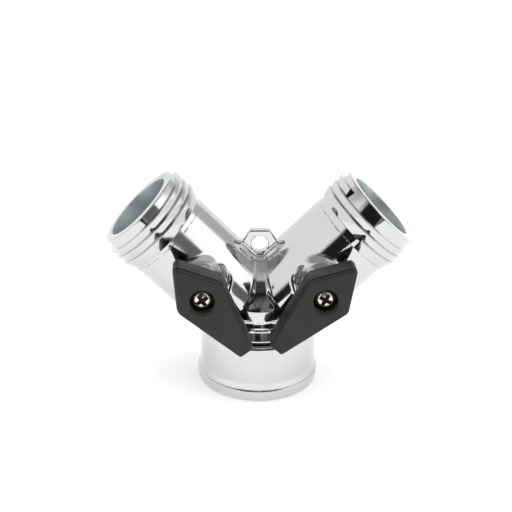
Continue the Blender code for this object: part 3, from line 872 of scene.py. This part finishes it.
# %% Tail
TAIL_BOTTOM = body_low.z
RING = tuple(in_mm(corner).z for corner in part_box("nut_retaining_ring"))
RING_GAP = 0.3
GROOVE_R = 9.6
SKIRT_WAIST_R = 12.5       # the cone that sits between the flange and the nut
SKIRT_R = 13.55
SKIRT_BOTTOM = 15.6


def make_tail():
    """The turned tail with its ring groove, its bore opened up where it is sunk into the casting."""
    sunk = FLANGE_BOTTOM + 0.7
    low, high = RING[0] - RING_GAP, RING[1] + RING_GAP
    tail = turned_piece("neck_tail", [
        (SKIRT_WAIST_R, sunk, 0), (SKIRT_WAIST_R, FLANGE_BOTTOM, 0), (SKIRT_R, SKIRT_BOTTOM + 0.75, 0.2),
        (SKIRT_R, SKIRT_BOTTOM, 0.2), (TAIL_R, SKIRT_BOTTOM, 0.2), (TAIL_R, high, 0.1),
        (GROOVE_R, high, 0.1), (GROOVE_R, low, 0.1), (TAIL_R, low, 0.1),
        (TAIL_R, TAIL_BOTTOM, 0.4), (NECK_BORE_R, TAIL_BOTTOM, 0.3),
        (NECK_BORE_R, FLANGE_BOTTOM + 0.2, 0), (NECK_BORE_R + 0.8, FLANGE_BOTTOM + 0.3, 0),
        (NECK_BORE_R + 0.8, sunk, 0),
    ], Matrix(), cast_chrome, raw_zinc)
    return dress_body(bare_inside(tail, Matrix(), NECK_BORE_R + 0.2))


print(make_tail().name, "has", len(bpy.data.objects["neck_tail"].data.polygons), "faces")

# %% [markdown]
# ## Threads grown by Geometry Nodes
#
# A garden hose thread is one ridge wound round a cylinder, 11.5 turns to the inch, and it fades away at
# both ends. That is a rule, so a node tree makes it: a spiral is the path, a small rounded trapezoid is the
# section, and the section's size follows a run-out near each end. The same tree makes the two outlet
# threads and the nut's inner thread, with other numbers.

# %% The thread tree
PITCH = 25.4 / 11.5


THREAD_INPUTS = {
    "Radius": 12.0 * MM, "Section Height": 1.4 * MM, "Base Width": 1.7 * MM, "Crest Width": 0.6 * MM,
    "Pitch": PITCH * MM, "Turns": 3.0, "Run Out": 0.1, "Corner": 0.2 * MM, "Material": None,
}


def run_out_size(tree, given):
    """How large the section is along the path: it shrinks near both ends."""
    along = add_node(tree, "GeometryNodeSplineParameter").outputs["Factor"]
    nearest = math_node(tree, "MINIMUM", along, math_node(tree, "SUBTRACT", 1.0, along))
    levels = {"Value": nearest, "From Max": given["Run Out"], "To Min": 0.06}
    return add_node(tree, "ShaderNodeMapRange", levels, interpolation_type="SMOOTHSTEP").outputs["Result"]


def thread_section(tree, given):
    """The rounded trapezoid that is swept along the path."""
    flat = {"Height": given["Section Height"], "Bottom Width": given["Base Width"],
            "Top Width": given["Crest Width"], "Offset": 0.0}
    section = add_node(tree, "GeometryNodeCurvePrimitiveQuadrilateral", flat, mode="TRAPEZOID")
    corner = {"Curve": section.outputs["Curve"], "Count": 4, "Radius": given["Corner"]}
    return add_node(tree, "GeometryNodeFilletCurve", corner, mode="POLY").outputs["Curve"]


def thread_tree():
    """Geometry Nodes: a spiral ridge with run-outs, in metres, round Z from Z = 0 up."""
    tree = bpy.data.node_groups.new("hose_thread", "GeometryNodeTree")
    sockets = {}
    for label, value in THREAD_INPUTS.items():
        kind = "NodeSocketMaterial" if value is None else "NodeSocketFloat"
        socket = tree.interface.new_socket(label, in_out="INPUT", socket_type=kind)
        if value is not None:
            socket.default_value = value
        sockets[label] = socket.identifier
    tree.interface.new_socket("Geometry", in_out="OUTPUT", socket_type="NodeSocketGeometry")
    given = tree.nodes.new("NodeGroupInput").outputs
    height = math_node(tree, "MULTIPLY", given["Pitch"], given["Turns"])
    spiral = {"Resolution": 96, "Rotations": given["Turns"], "Start Radius": given["Radius"],
              "End Radius": given["Radius"], "Height": height, "Reverse": True}
    path = add_node(tree, "GeometryNodeCurveSpiral", spiral).outputs["Curve"]
    sized = {"Curve": path, "Radius": run_out_size(tree, given)}
    path = add_node(tree, "GeometryNodeSetCurveRadius", sized).outputs["Curve"]
    path = add_node(tree, "GeometryNodeSetCurveNormal", {"Curve": path}, mode="Z_UP").outputs["Curve"]
    swept = {"Curve": path, "Profile Curve": thread_section(tree, given), "Fill Caps": True}
    ridge = add_node(tree, "GeometryNodeCurveToMesh", swept).outputs["Mesh"]
    ridge = add_node(tree, "GeometryNodeRealizeInstances", {"Geometry": ridge}).outputs["Geometry"]
    coated = {"Geometry": ridge, "Material": given["Material"]}
    ridge = add_node(tree, "GeometryNodeSetMaterial", coated).outputs["Geometry"]
    tree.links.new(ridge, tree.nodes.new("NodeGroupOutput").inputs["Geometry"])
    return tree, sockets


THREAD_TREE, THREAD_SOCKETS = thread_tree()


def grow_thread(name, matrix, start, material, **values):
    """One thread ridge as a plain mesh, turned by its start angle and placed by a matrix."""
    carrier = bpy.data.objects.new(name, bpy.data.meshes.new(name))
    bpy.context.scene.collection.objects.link(carrier)
    modifier = carrier.modifiers.new("thread", "NODES")
    modifier.node_group = THREAD_TREE
    modifier[THREAD_SOCKETS["Material"]] = material
    for label, value in values.items():
        modifier[THREAD_SOCKETS[label.replace("_", " ")]] = value
    bpy.context.view_layer.update()
    graph = bpy.context.evaluated_depsgraph_get()
    mesh = bpy.data.meshes.new_from_object(carrier.evaluated_get(graph))
    carrier.modifiers.clear()
    in_metres = Matrix.Translation(AXIS) @ Matrix.Translation(matrix.translation * MM)
    in_metres = in_metres @ matrix.to_3x3().to_4x4() @ Matrix.Rotation(start, 4, "Z")
    mesh.transform(in_metres)
    bm = bmesh.new()
    bm.from_mesh(mesh)
    bmesh.ops.remove_doubles(bm, verts=bm.verts, dist=1e-7)
    bmesh.ops.recalc_face_normals(bm, faces=bm.faces)
    bm.to_mesh(mesh)
    bm.free()
    mesh.name = name
    carrier.data = mesh
    return shade_again(carrier, 50.0)


print("thread tree inputs:", ", ".join(THREAD_SOCKETS))

# %% [markdown]
# ## The outlet ends
#
# Each arm ends in a turned nose that a hose washer seals on. The tube is a hair thinner here than the cast
# arm, which leaves the fine line just below the last thread. The nose has a small bevel outside and inside,
# and the bore behind it is bare zinc, because plating hardly reaches into a deep hole. The two threads start
# half a turn apart, so that the ridges of one arm stand level with the grooves of the other.

# %% Outlet ends
THREAD_TURNS = 2.85
FIRST_RIDGE = 3.05         # from the mouth to where the ridge fades out
THREAD_START = {"left": math.radians(84.0), "right": math.radians(-96.0)}


def make_outlet(name, side):
    """The turned end of one arm and its thread."""
    end = turned_piece(f"{name}_outlet_end", [
        (ROOT_R, ARM_END - 0.6, 0), (ROOT_R, ARM_LENGTH, 0.34), (CHAMBER_R, ARM_LENGTH, 0.22),
        (CHAMBER_R, ARM_END, 0), (CHAMBER_R + 0.7, ARM_END + 0.05, 0), (CHAMBER_R + 0.7, ARM_END - 0.6, 0),
    ], arm_frame(side), cast_chrome, raw_zinc, steps=144)
    dress_body(bare_inside(end, arm_frame(side), CHAMBER_R + 0.05))
    base = ARM_LENGTH - FIRST_RIDGE - THREAD_TURNS * PITCH
    height = 2 * (CREST_R - ROOT_R) + 0.2
    thread = grow_thread(
        f"{name}_outlet_thread", arm_frame(side, base), THREAD_START[name], cast_chrome,
        Radius=ROOT_R * MM, Section_Height=height * MM, Base_Width=2.7 * MM, Crest_Width=0.9 * MM,
        Turns=THREAD_TURNS, Run_Out=0.06, Corner=0.24 * MM)
    return len(dress_body(thread).data.polygons)


for side_name, side_sign in SIDES.items():
    print(side_name, "outlet thread faces:", make_outlet(side_name, side_sign))

# %% [markdown]
# ## The swivel nut
#
# The nut is turned from a casting: a plain collar, a soft flare into a bead at the foot, a rounded top edge
# and an inner lip that rides on the ring. The inside is bare and carries the inlet thread.

# %% Nut
nut_high = in_mm(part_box("inlet_nut")[1])
BEAD_R = nut_high.x
NUT_HEIGHT = nut_high.z
NUT_R = 15.4
BEAD_HEIGHT = 3.3
SOCKET_R = 13.75
LIP_R = 11.0
LIP_BOTTOM = 13.3
INLET_TURNS = 2.6
INLET_MIDDLE = 4.3


def make_nut():
    """The collar with its bead, flare and lip, and the inlet thread in it."""
    nut = turned_piece("inlet_collar", [
        (LIP_R, NUT_HEIGHT, 0.3), (NUT_R, NUT_HEIGHT, 0.8), (NUT_R, BEAD_HEIGHT + 1.6, 2.4),
        (BEAD_R - 0.42, BEAD_HEIGHT + 0.05, 0.25), (BEAD_R - 0.42, BEAD_HEIGHT - 0.15, 0.04),
        (BEAD_R, BEAD_HEIGHT - 0.28, 0.3), (BEAD_R, 0.0, 0.95), (SOCKET_R, 0.0, 0.45),
        (SOCKET_R, LIP_BOTTOM, 0.3), (LIP_R, LIP_BOTTOM, 0.3),
    ], Matrix(), turned_chrome, raw_zinc, steps=192, per_corner=6)
    bare_inside(nut, Matrix(), SOCKET_R + 0.1, LIP_BOTTOM + 0.1)
    base = INLET_MIDDLE - INLET_TURNS * PITCH / 2
    ridge = grow_thread(
        "inlet_thread", Matrix.Translation((0, 0, base)), 0.0, raw_zinc,
        Radius=SOCKET_R * MM, Section_Height=1.8 * MM, Base_Width=0.6 * MM, Crest_Width=2.6 * MM,
        Turns=INLET_TURNS, Run_Out=0.09, Corner=0.2 * MM)
    for piece in (nut, ridge):
        dress(piece, "inlet_nut", "swivel_nut")
    return nut


print(make_nut().name, "radius", round(BEAD_R, 2), "mm at the bead")

# %% [markdown]
# ## Washer, ring, seats and retainers
#
# These are plain turned rings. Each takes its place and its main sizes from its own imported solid, and only
# its edges are new. The retainers have two slots for a pin spanner, cut across their faces.

# %% Rings
def ring_sizes(node, matrix):
    """Outer radius, inner radius, low and high of a packed ring along a frame's Z."""
    into = matrix.inverted()
    points = np.array([into @ in_mm(v.co) for v in frame["nodes"][node].data.vertices])
    radial = np.hypot(points[:, 0], points[:, 1])
    return radial.max(), radial.min(), points[:, 2].min(), points[:, 2].max()


def plain_ring(node, matrix, edge, material, steps=96):
    """A rounded copy of a packed ring."""
    outer, inner, low, high = ring_sizes(node, matrix)
    corners = [(outer, high, edge), (outer, low, edge), (inner, low, edge), (inner, high, edge)]
    return turned_piece(f"{node}_turned", corners, matrix, material, steps=steps)


dress(plain_ring("inlet_washer", Matrix(), 0.35, washer_rubber), "inlet_washer", "swivel_nut")
split_ring = plain_ring("nut_retaining_ring", Matrix(), 0.2, spring_steel)
GAP_SIZE = (2.4, 6, 6)
GAP_CENTRE = (0, 12, sum(RING) / 2)
shade_again(cut(split_ring, block("ring_gap", GAP_SIZE, GAP_CENTRE, Matrix())))
dress(split_ring, "nut_retaining_ring", "splitter_body")
SPANNER_SLOT = (2.2, 24, 3.0)
for side_name, side_sign in SIDES.items():
    ball_frame = arm_frame(side_sign, VALVE_T)
    retainer = plain_ring(f"{side_name}_seat_retainer", ball_frame, 0.2, brass)
    top = ring_sizes(f"{side_name}_seat_retainer", ball_frame)[3]
    shade_again(cut(retainer, block("slot", SPANNER_SLOT, (0, 0, top), ball_frame)))
    dress(retainer, f"{side_name}_seat_retainer", "splitter_body")
    washer_frame = valve_frame(side_sign)
    slip = plain_ring(f"{side_name}_stem_thrust_washer", washer_frame, 0.12, seat_plastic, 48)
    dress(slip, f"{side_name}_stem_thrust_washer", f"{side_name}_lever")
print("rings dressed")

# %% [markdown]
# ## Balls, seats and O-rings
#
# The balls are polished chrome with a straight bore, and a slot that the stem's tongue drives. The seats
# cup them, and the O-rings are true rounds in the stem's grooves.

# %% Balls and seats
BALL_R = 8.3
BALL_BORE_R = 5.5
BALL_SLOT = (2.6, 4.0, 24)
RING_SECTION_R = 0.5
CUP_R = 7.8
SEAT_STEP = 5.0
SEAT_GAP = 0.3


def half_circle(radius, low, high, count):
    """Points (radius, height) of an arc round the origin, from one angle to another in degrees."""
    angles = [math.radians(low + (high - low) * step / count) for step in range(count + 1)]
    return [(radius * math.cos(a), radius * math.sin(a), 0) for a in angles]


def make_ball(name, side):
    """A ball bored along the arm, with edges eased at both ends of the bore."""
    rim = math.degrees(math.acos(BALL_BORE_R / BALL_R))
    profile = [(x, y, 0.0) for x, y, _ in half_circle(BALL_R, rim - 1.5, 1.5 - rim, 28)]
    bore_end = BALL_R * math.sin(math.radians(rim)) - 0.1
    profile += [(BALL_BORE_R, -bore_end + 0.3, 0), (BALL_BORE_R, bore_end - 0.3, 0)]
    ball = turned_piece(f"{name}_ball_bored", profile, arm_frame(side, VALVE_T), turned_chrome)
    shade_again(cut(ball, block("slot", BALL_SLOT, (0, -BALL_R, 0), arm_frame(side, VALVE_T))))
    return dress(ball, f"{name}_ball", f"{name}_valve_ball")


def make_seats(name, side):
    """The two seats of one ball, facing each other."""
    near = BALL_R + SEAT_GAP
    wide, narrow = (math.degrees(math.asin(radius / near)) - 90 for radius in (CUP_R, 6.0))
    cup = half_circle(near, narrow, wide, 8)
    inner_t = CHAMBER_FLOOR + SEAT_GAP - VALVE_T
    seat_r = CHAMBER_R - SEAT_GAP
    corners = [
        (CUP_R + 0.35, cup[-1][1], 0.1), (CUP_R + 0.35, -SEAT_STEP, 0.1), (seat_r, -SEAT_STEP, 0.15),
        (seat_r, inner_t, 0.15), (PORT_R + 0.1, inner_t, 0.1), (PORT_R + 0.1, cup[0][1], 0.05), *cup,
    ]
    along_arm = arm_frame(side, VALVE_T)
    flipped = along_arm @ Matrix.Rotation(math.pi, 4, "X")
    for which, matrix in (("inner", along_arm), ("outer", flipped)):
        seat = turned_piece(f"{name}_{which}_seat_cup", corners, matrix, seat_plastic)
        dress(seat, f"{name}_{which}_seat", "splitter_body")
    return 2


def make_o_rings(name, side):
    """The two O-rings on one stem."""
    matrix = valve_frame(side)
    for which in ("inner", "outer"):
        node = f"{name}_stem_o_ring_{which}"
        outer, _, low, high = ring_sizes(node, matrix)
        section = half_circle(RING_SECTION_R, 0, -345, 23)
        middle = (low + high) / 2
        corners = [(x + outer - RING_SECTION_R, y + middle, 0) for x, y, _ in section]
        ring = turned_piece(f"{node}_round", corners, matrix, washer_rubber, steps=48)
        dress(ring, node, f"{name}_lever")
    return 2


for side_name, side_sign in SIDES.items():
    make_ball(side_name, side_sign)
    seats = make_seats(side_name, side_sign)
    print(side_name, "ball,", seats, "seats and", make_o_rings(side_name, side_sign), "O-rings")

# %% [markdown]
# ## Stems
#
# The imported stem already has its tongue, collar, grooves and flats. Only its lathe facets are too coarse,
# so it is turned again with the same steps in its profile, then the tongue and the flats are put back.

# %% Stems
STEM_R = 3.4
STEM_TOP = 19.1
COLLAR_R = 4.4
RING_GROOVE_R = 2.25
COLLAR = (8.6, 9.8)
TONGUE_SIZE = (2.0, 6.4, 2.2)
TONGUE_MIDDLE = 7.8
DRIVE_FLATS = 4.8
LEVER_POINT = {}


def lever_turn(name, side):
    """The angle of a lever's long axis in its valve frame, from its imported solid."""
    into = valve_frame(side).inverted()
    nodes = frame["nodes"][f"{name}_handle"].data.vertices
    points = np.array([into @ in_mm(v.co) for v in nodes])[:, :2]
    reach = np.hypot(*points.T)
    tip = points[reach > reach.max() - 0.8]
    return math.atan2(tip[:, 1].mean(), tip[:, 0].mean())


def make_stem(name, side):
    """One stem, with its tongue in the ball and its flats in the lever."""
    matrix = valve_frame(side)
    corners = [(0, STEM_TOP, 0), (STEM_R, STEM_TOP, 0.25)]
    for which in ("outer", "inner"):
        _, _, low, high = ring_sizes(f"{name}_stem_o_ring_{which}", matrix)
        low, high = low - SEAT_GAP, high + SEAT_GAP
        corners += [(STEM_R, high, 0.08), (RING_GROOVE_R, high, 0.08)]
        corners += [(RING_GROOVE_R, low, 0.08), (STEM_R, low, 0.08)]
    low, high = COLLAR
    corners += [(STEM_R, high, 0.1), (COLLAR_R, high, 0.15), (COLLAR_R, low, 0.15), (0, low, 0)]
    stem = turned_piece(f"{name}_stem_turned", corners, matrix, brass, steps=64)
    keyed = valve_frame(side, LEVER_POINT[name])
    for edge in (-1, 1):
        centre = (0, edge * (DRIVE_FLATS / 2 + 5), 22.0)
        cut(stem, block("flat", (20, 10, 10), centre, keyed))
    bm = box_bmesh(TONGUE_SIZE, (0, 0, TONGUE_MIDDLE))
    bmesh.ops.bevel(bm, geom=bm.edges, offset=0.15, segments=2, affect="EDGES")
    turn_in = Matrix.Rotation(-side * ARM_ANGLE, 4, "Z")
    tongue = new_piece(f"{name}_stem_tongue", to_mesh(bm, "tongue", matrix @ turn_in), brass)
    for piece in (shade_again(stem), tongue):
        dress(piece, f"{name}_stem", f"{name}_lever")
    return stem


for side_name, side_sign in SIDES.items():
    LEVER_POINT[side_name] = lever_turn(side_name, side_sign)
    make_stem(side_name, side_sign)
    print(side_name, "lever points to", round(math.degrees(LEVER_POINT[side_name]), 1), "degrees")

# %% [markdown]
# ## The levers
#
# Each lever is moulded in black plastic. From the side it is a thick plate with a shallow groove under its
# face, which draws the thin dark line round the front. The same outline is drawn at several heights, each a
# little smaller or larger, and the outlines are joined into one skin. The back is cored out round a hub, as
# mouldings are, so that the plastic cools evenly.

# %% Lever outline and skin
LEVER_BACK = 17.0
LEVER_FRONT = 23.5
WEB_BOTTOM = 19.4
WEB_TOP = 20.4
RECESS_R = 3.1
SHANK_R = 1.2
HUB_R = 5.4
LEVER_CORNERS = [
    # along the lever, across it, and the round at the corner
    (18.3, 2.0, 1.0), (-1.35, 6.8, 2.6), (-10.8, 0.8, 1.1), (-10.8, -0.8, 1.1), (-1.35, -6.8, 2.6),
    (18.3, -2.0, 1.0),
]
CORE_CORNERS = [(15.0, 1.0), (-1.2, 5.0), (-8.5, 0.9)]
LEVER_LAYERS = [
    # height on the valve axis, how far the outline is drawn in
    (LEVER_BACK, 0.30), (LEVER_BACK + 0.09, 0.09), (LEVER_BACK + 0.30, 0.0), (22.15, 0.0), (22.30, 0.05),
    (22.36, 0.18), (22.38, 0.55), (22.70, 0.60), (22.73, 0.28), (22.80, 0.20), (23.05, 0.20),
    (23.28, 0.27), (23.42, 0.40), (23.48, 0.58), (LEVER_FRONT, 0.85),
]


def drawn_in(corners, inset):
    """The corners moved inwards by an even margin, with their rounds made smaller to match."""
    moved = []
    for index, (x, y, radius) in enumerate(corners):
        corner = Vector((x, y))
        before = (Vector(corners[index - 1][:2]) - corner).normalized()
        after = (Vector(corners[(index + 1) % len(corners)][:2]) - corner).normalized()
        half = before.angle(after) / 2
        shifted = corner + (before + after).normalized() * inset / math.sin(half)
        moved.append((shifted.x, shifted.y, max(radius - inset, 0.15)))
    return moved


def lofted(layers, corners, per_corner=10):
    """One skin through the same outline at several heights, closed at both ends."""
    bm = bmesh.new()
    rings = []
    for height, inset in layers:
        outline = rounded(drawn_in(corners, inset), per_corner)
        rings.append([bm.verts.new((x, y, height)) for x, y in outline])
    for low, high in zip(rings, rings[1:]):
        for index in range(len(low)):
            after = (index + 1) % len(low)
            bm.faces.new((low[index], low[after], high[after], high[index]))
    bm.faces.new(rings[0])
    bm.faces.new(rings[-1])
    bmesh.ops.recalc_face_normals(bm, faces=bm.faces)
    return bm


def make_lever(name, side):
    """One lever with its recess, drive pocket and cored back."""
    keyed = valve_frame(side, LEVER_POINT[name])
    lever = new_piece(f"{name}_lever_moulding",
                      to_mesh(lofted(LEVER_LAYERS, LEVER_CORNERS), "lever", keyed), lever_plastic)
    core_corners = [(x, y, 0.5) for x, y in CORE_CORNERS] + [(x, -y, 0.5) for x, y in CORE_CORNERS[::-1]]
    core_layers = [(LEVER_BACK - 2, 0), (LEVER_BACK + 2.7, 0.1), (LEVER_BACK + 3.0, 0.4)]
    core = tool("core", lofted(core_layers, core_corners, 5), keyed)
    top, bottom = LEVER_BACK + 6, LEVER_BACK - 5
    hub = turned_bmesh([(0, top), (HUB_R, top), (HUB_R, bottom), (0, bottom)], 64)
    cut(core, tool("hub", hub, keyed))
    wall, bottom = STEM_R + 0.3, LEVER_BACK - 2
    pocket_profile = [(0, WEB_BOTTOM), (wall, WEB_BOTTOM), (wall, bottom), (0, bottom)]
    pocket = tool("pocket", turned_bmesh(pocket_profile, 48), keyed)
    for edge in (-1, 1):
        centre = (0, edge * (DRIVE_FLATS / 2 + 0.3 + 5), LEVER_BACK)
        cut(pocket, block("flat", (20, 10, 20), centre, keyed))
    recess_profile = [
        (0, LEVER_FRONT + 2), (RECESS_R + 0.62, LEVER_FRONT + 2), (RECESS_R + 0.62, LEVER_FRONT - 0.10),
        (RECESS_R + 0.22, LEVER_FRONT - 0.16), (RECESS_R + 0.06, LEVER_FRONT - 0.26),
        (RECESS_R, LEVER_FRONT - 0.45), (RECESS_R, WEB_TOP + 0.15), (RECESS_R - 0.15, WEB_TOP), (0, WEB_TOP),
    ]
    recess = tool("recess", turned_bmesh(recess_profile, 96), keyed)
    wall = SHANK_R + 0.3
    through_profile = [(0, LEVER_FRONT), (wall, LEVER_FRONT), (wall, LEVER_BACK), (0, LEVER_BACK)]
    through = tool("through", turned_bmesh(through_profile, 32), keyed)
    for hollow in (core, pocket, recess, through):
        cut(lever, hollow)
    dress(shade_again(lever, 30.0), f"{name}_handle", f"{name}_lever")
    return len(lever.data.polygons)


for side_name, side_sign in SIDES.items():
    print(side_name, "lever faces:", make_lever(side_name, side_sign))

# %% [markdown]
# ## The lever screws
#
# A pan head screw sits deep in each recess. Its head is turned, and the cross is cut by two tapered blades
# and a small cone, so the corners of the cross lean inwards as they do in a real cross recess. The cut faces
# are painted near black, a painted shade, because hardly any light reaches the bottom of so small a cross.

# %% Screws
SCREW_HEAD_R = 2.5
SCREW_HEAD = 1.9
SCREW_TURN = {"left": math.radians(33.0), "right": math.radians(61.0)}
HEAD_DOME = [(0, 0), (0.9, 0.05), (1.65, 0.22), (2.2, 0.55), (SCREW_HEAD_R, 1.05)]   # radius, drop
SCREW_TIP = 15.7
CROSS_LENGTH = 4.0
CROSS_WIDTH = 1.15
CROSS_DEPTH = 1.15


def tapered_blade(length, width, low, high):
    """A blade of the cross, narrower at its bottom."""
    bm = bmesh.new()
    bmesh.ops.create_cube(bm, size=1.0)
    for vert in bm.verts:
        above = vert.co.z > 0
        spread = 1.0 if above else 0.55
        vert.co = (vert.co.x * length * spread, vert.co.y * width * (1.0 if above else 0.7),
                   high if above else low)
    return bm


def make_screw(name, side):
    """One pan head screw with its cross recess."""
    matrix = valve_frame(side, SCREW_TURN[name])
    seat = WEB_TOP + 0.3
    crown = seat + SCREW_HEAD
    dome = [(radius, crown - drop, 0) for radius, drop in HEAD_DOME]
    corners = dome + [
        (SCREW_HEAD_R, seat, 0.12), (SHANK_R, seat, 0.1),
        (SHANK_R, SCREW_TIP + 0.5, 0.1), (SHANK_R / 2, SCREW_TIP, 0.1), (0, SCREW_TIP, 0),
    ]
    screw = turned_piece(f"{name}_pan_screw", corners, matrix, screw_nickel, cross_painted_shade, steps=72)
    for quarter in (0, 1):
        blade = tapered_blade(CROSS_LENGTH, CROSS_WIDTH, crown - CROSS_DEPTH, crown + 0.4)
        cut(screw, tool("blade", blade, matrix @ Matrix.Rotation(quarter * math.pi / 2, 4, "Z")))
    cone = turned_bmesh([(0, crown + 0.4), (1.0, crown + 0.4), (0.35, crown - 1.35), (0, crown - 1.45)], 32)
    cut(screw, tool("cone", cone, matrix))
    # the faces sunk into the cross take the second material, the painted shade
    radii, drops = zip(*HEAD_DOME)
    for face in screw.data.polygons:
        local = matrix.inverted() @ in_mm(face.center)
        radial = math.hypot(local.x, local.y)
        sunk = local.z < crown - np.interp(radial, radii, drops) - 0.15
        face.material_index = int(sunk and local.z > crown - 1.5 and radial < CROSS_LENGTH / 2 + 0.05)
    dress(shade_again(screw), f"{name}_handle_screw", f"{name}_lever")
    return len(screw.data.polygons)


for side_name, side_sign in SIDES.items():
    print(side_name, "screw faces:", make_screw(side_name, side_sign))
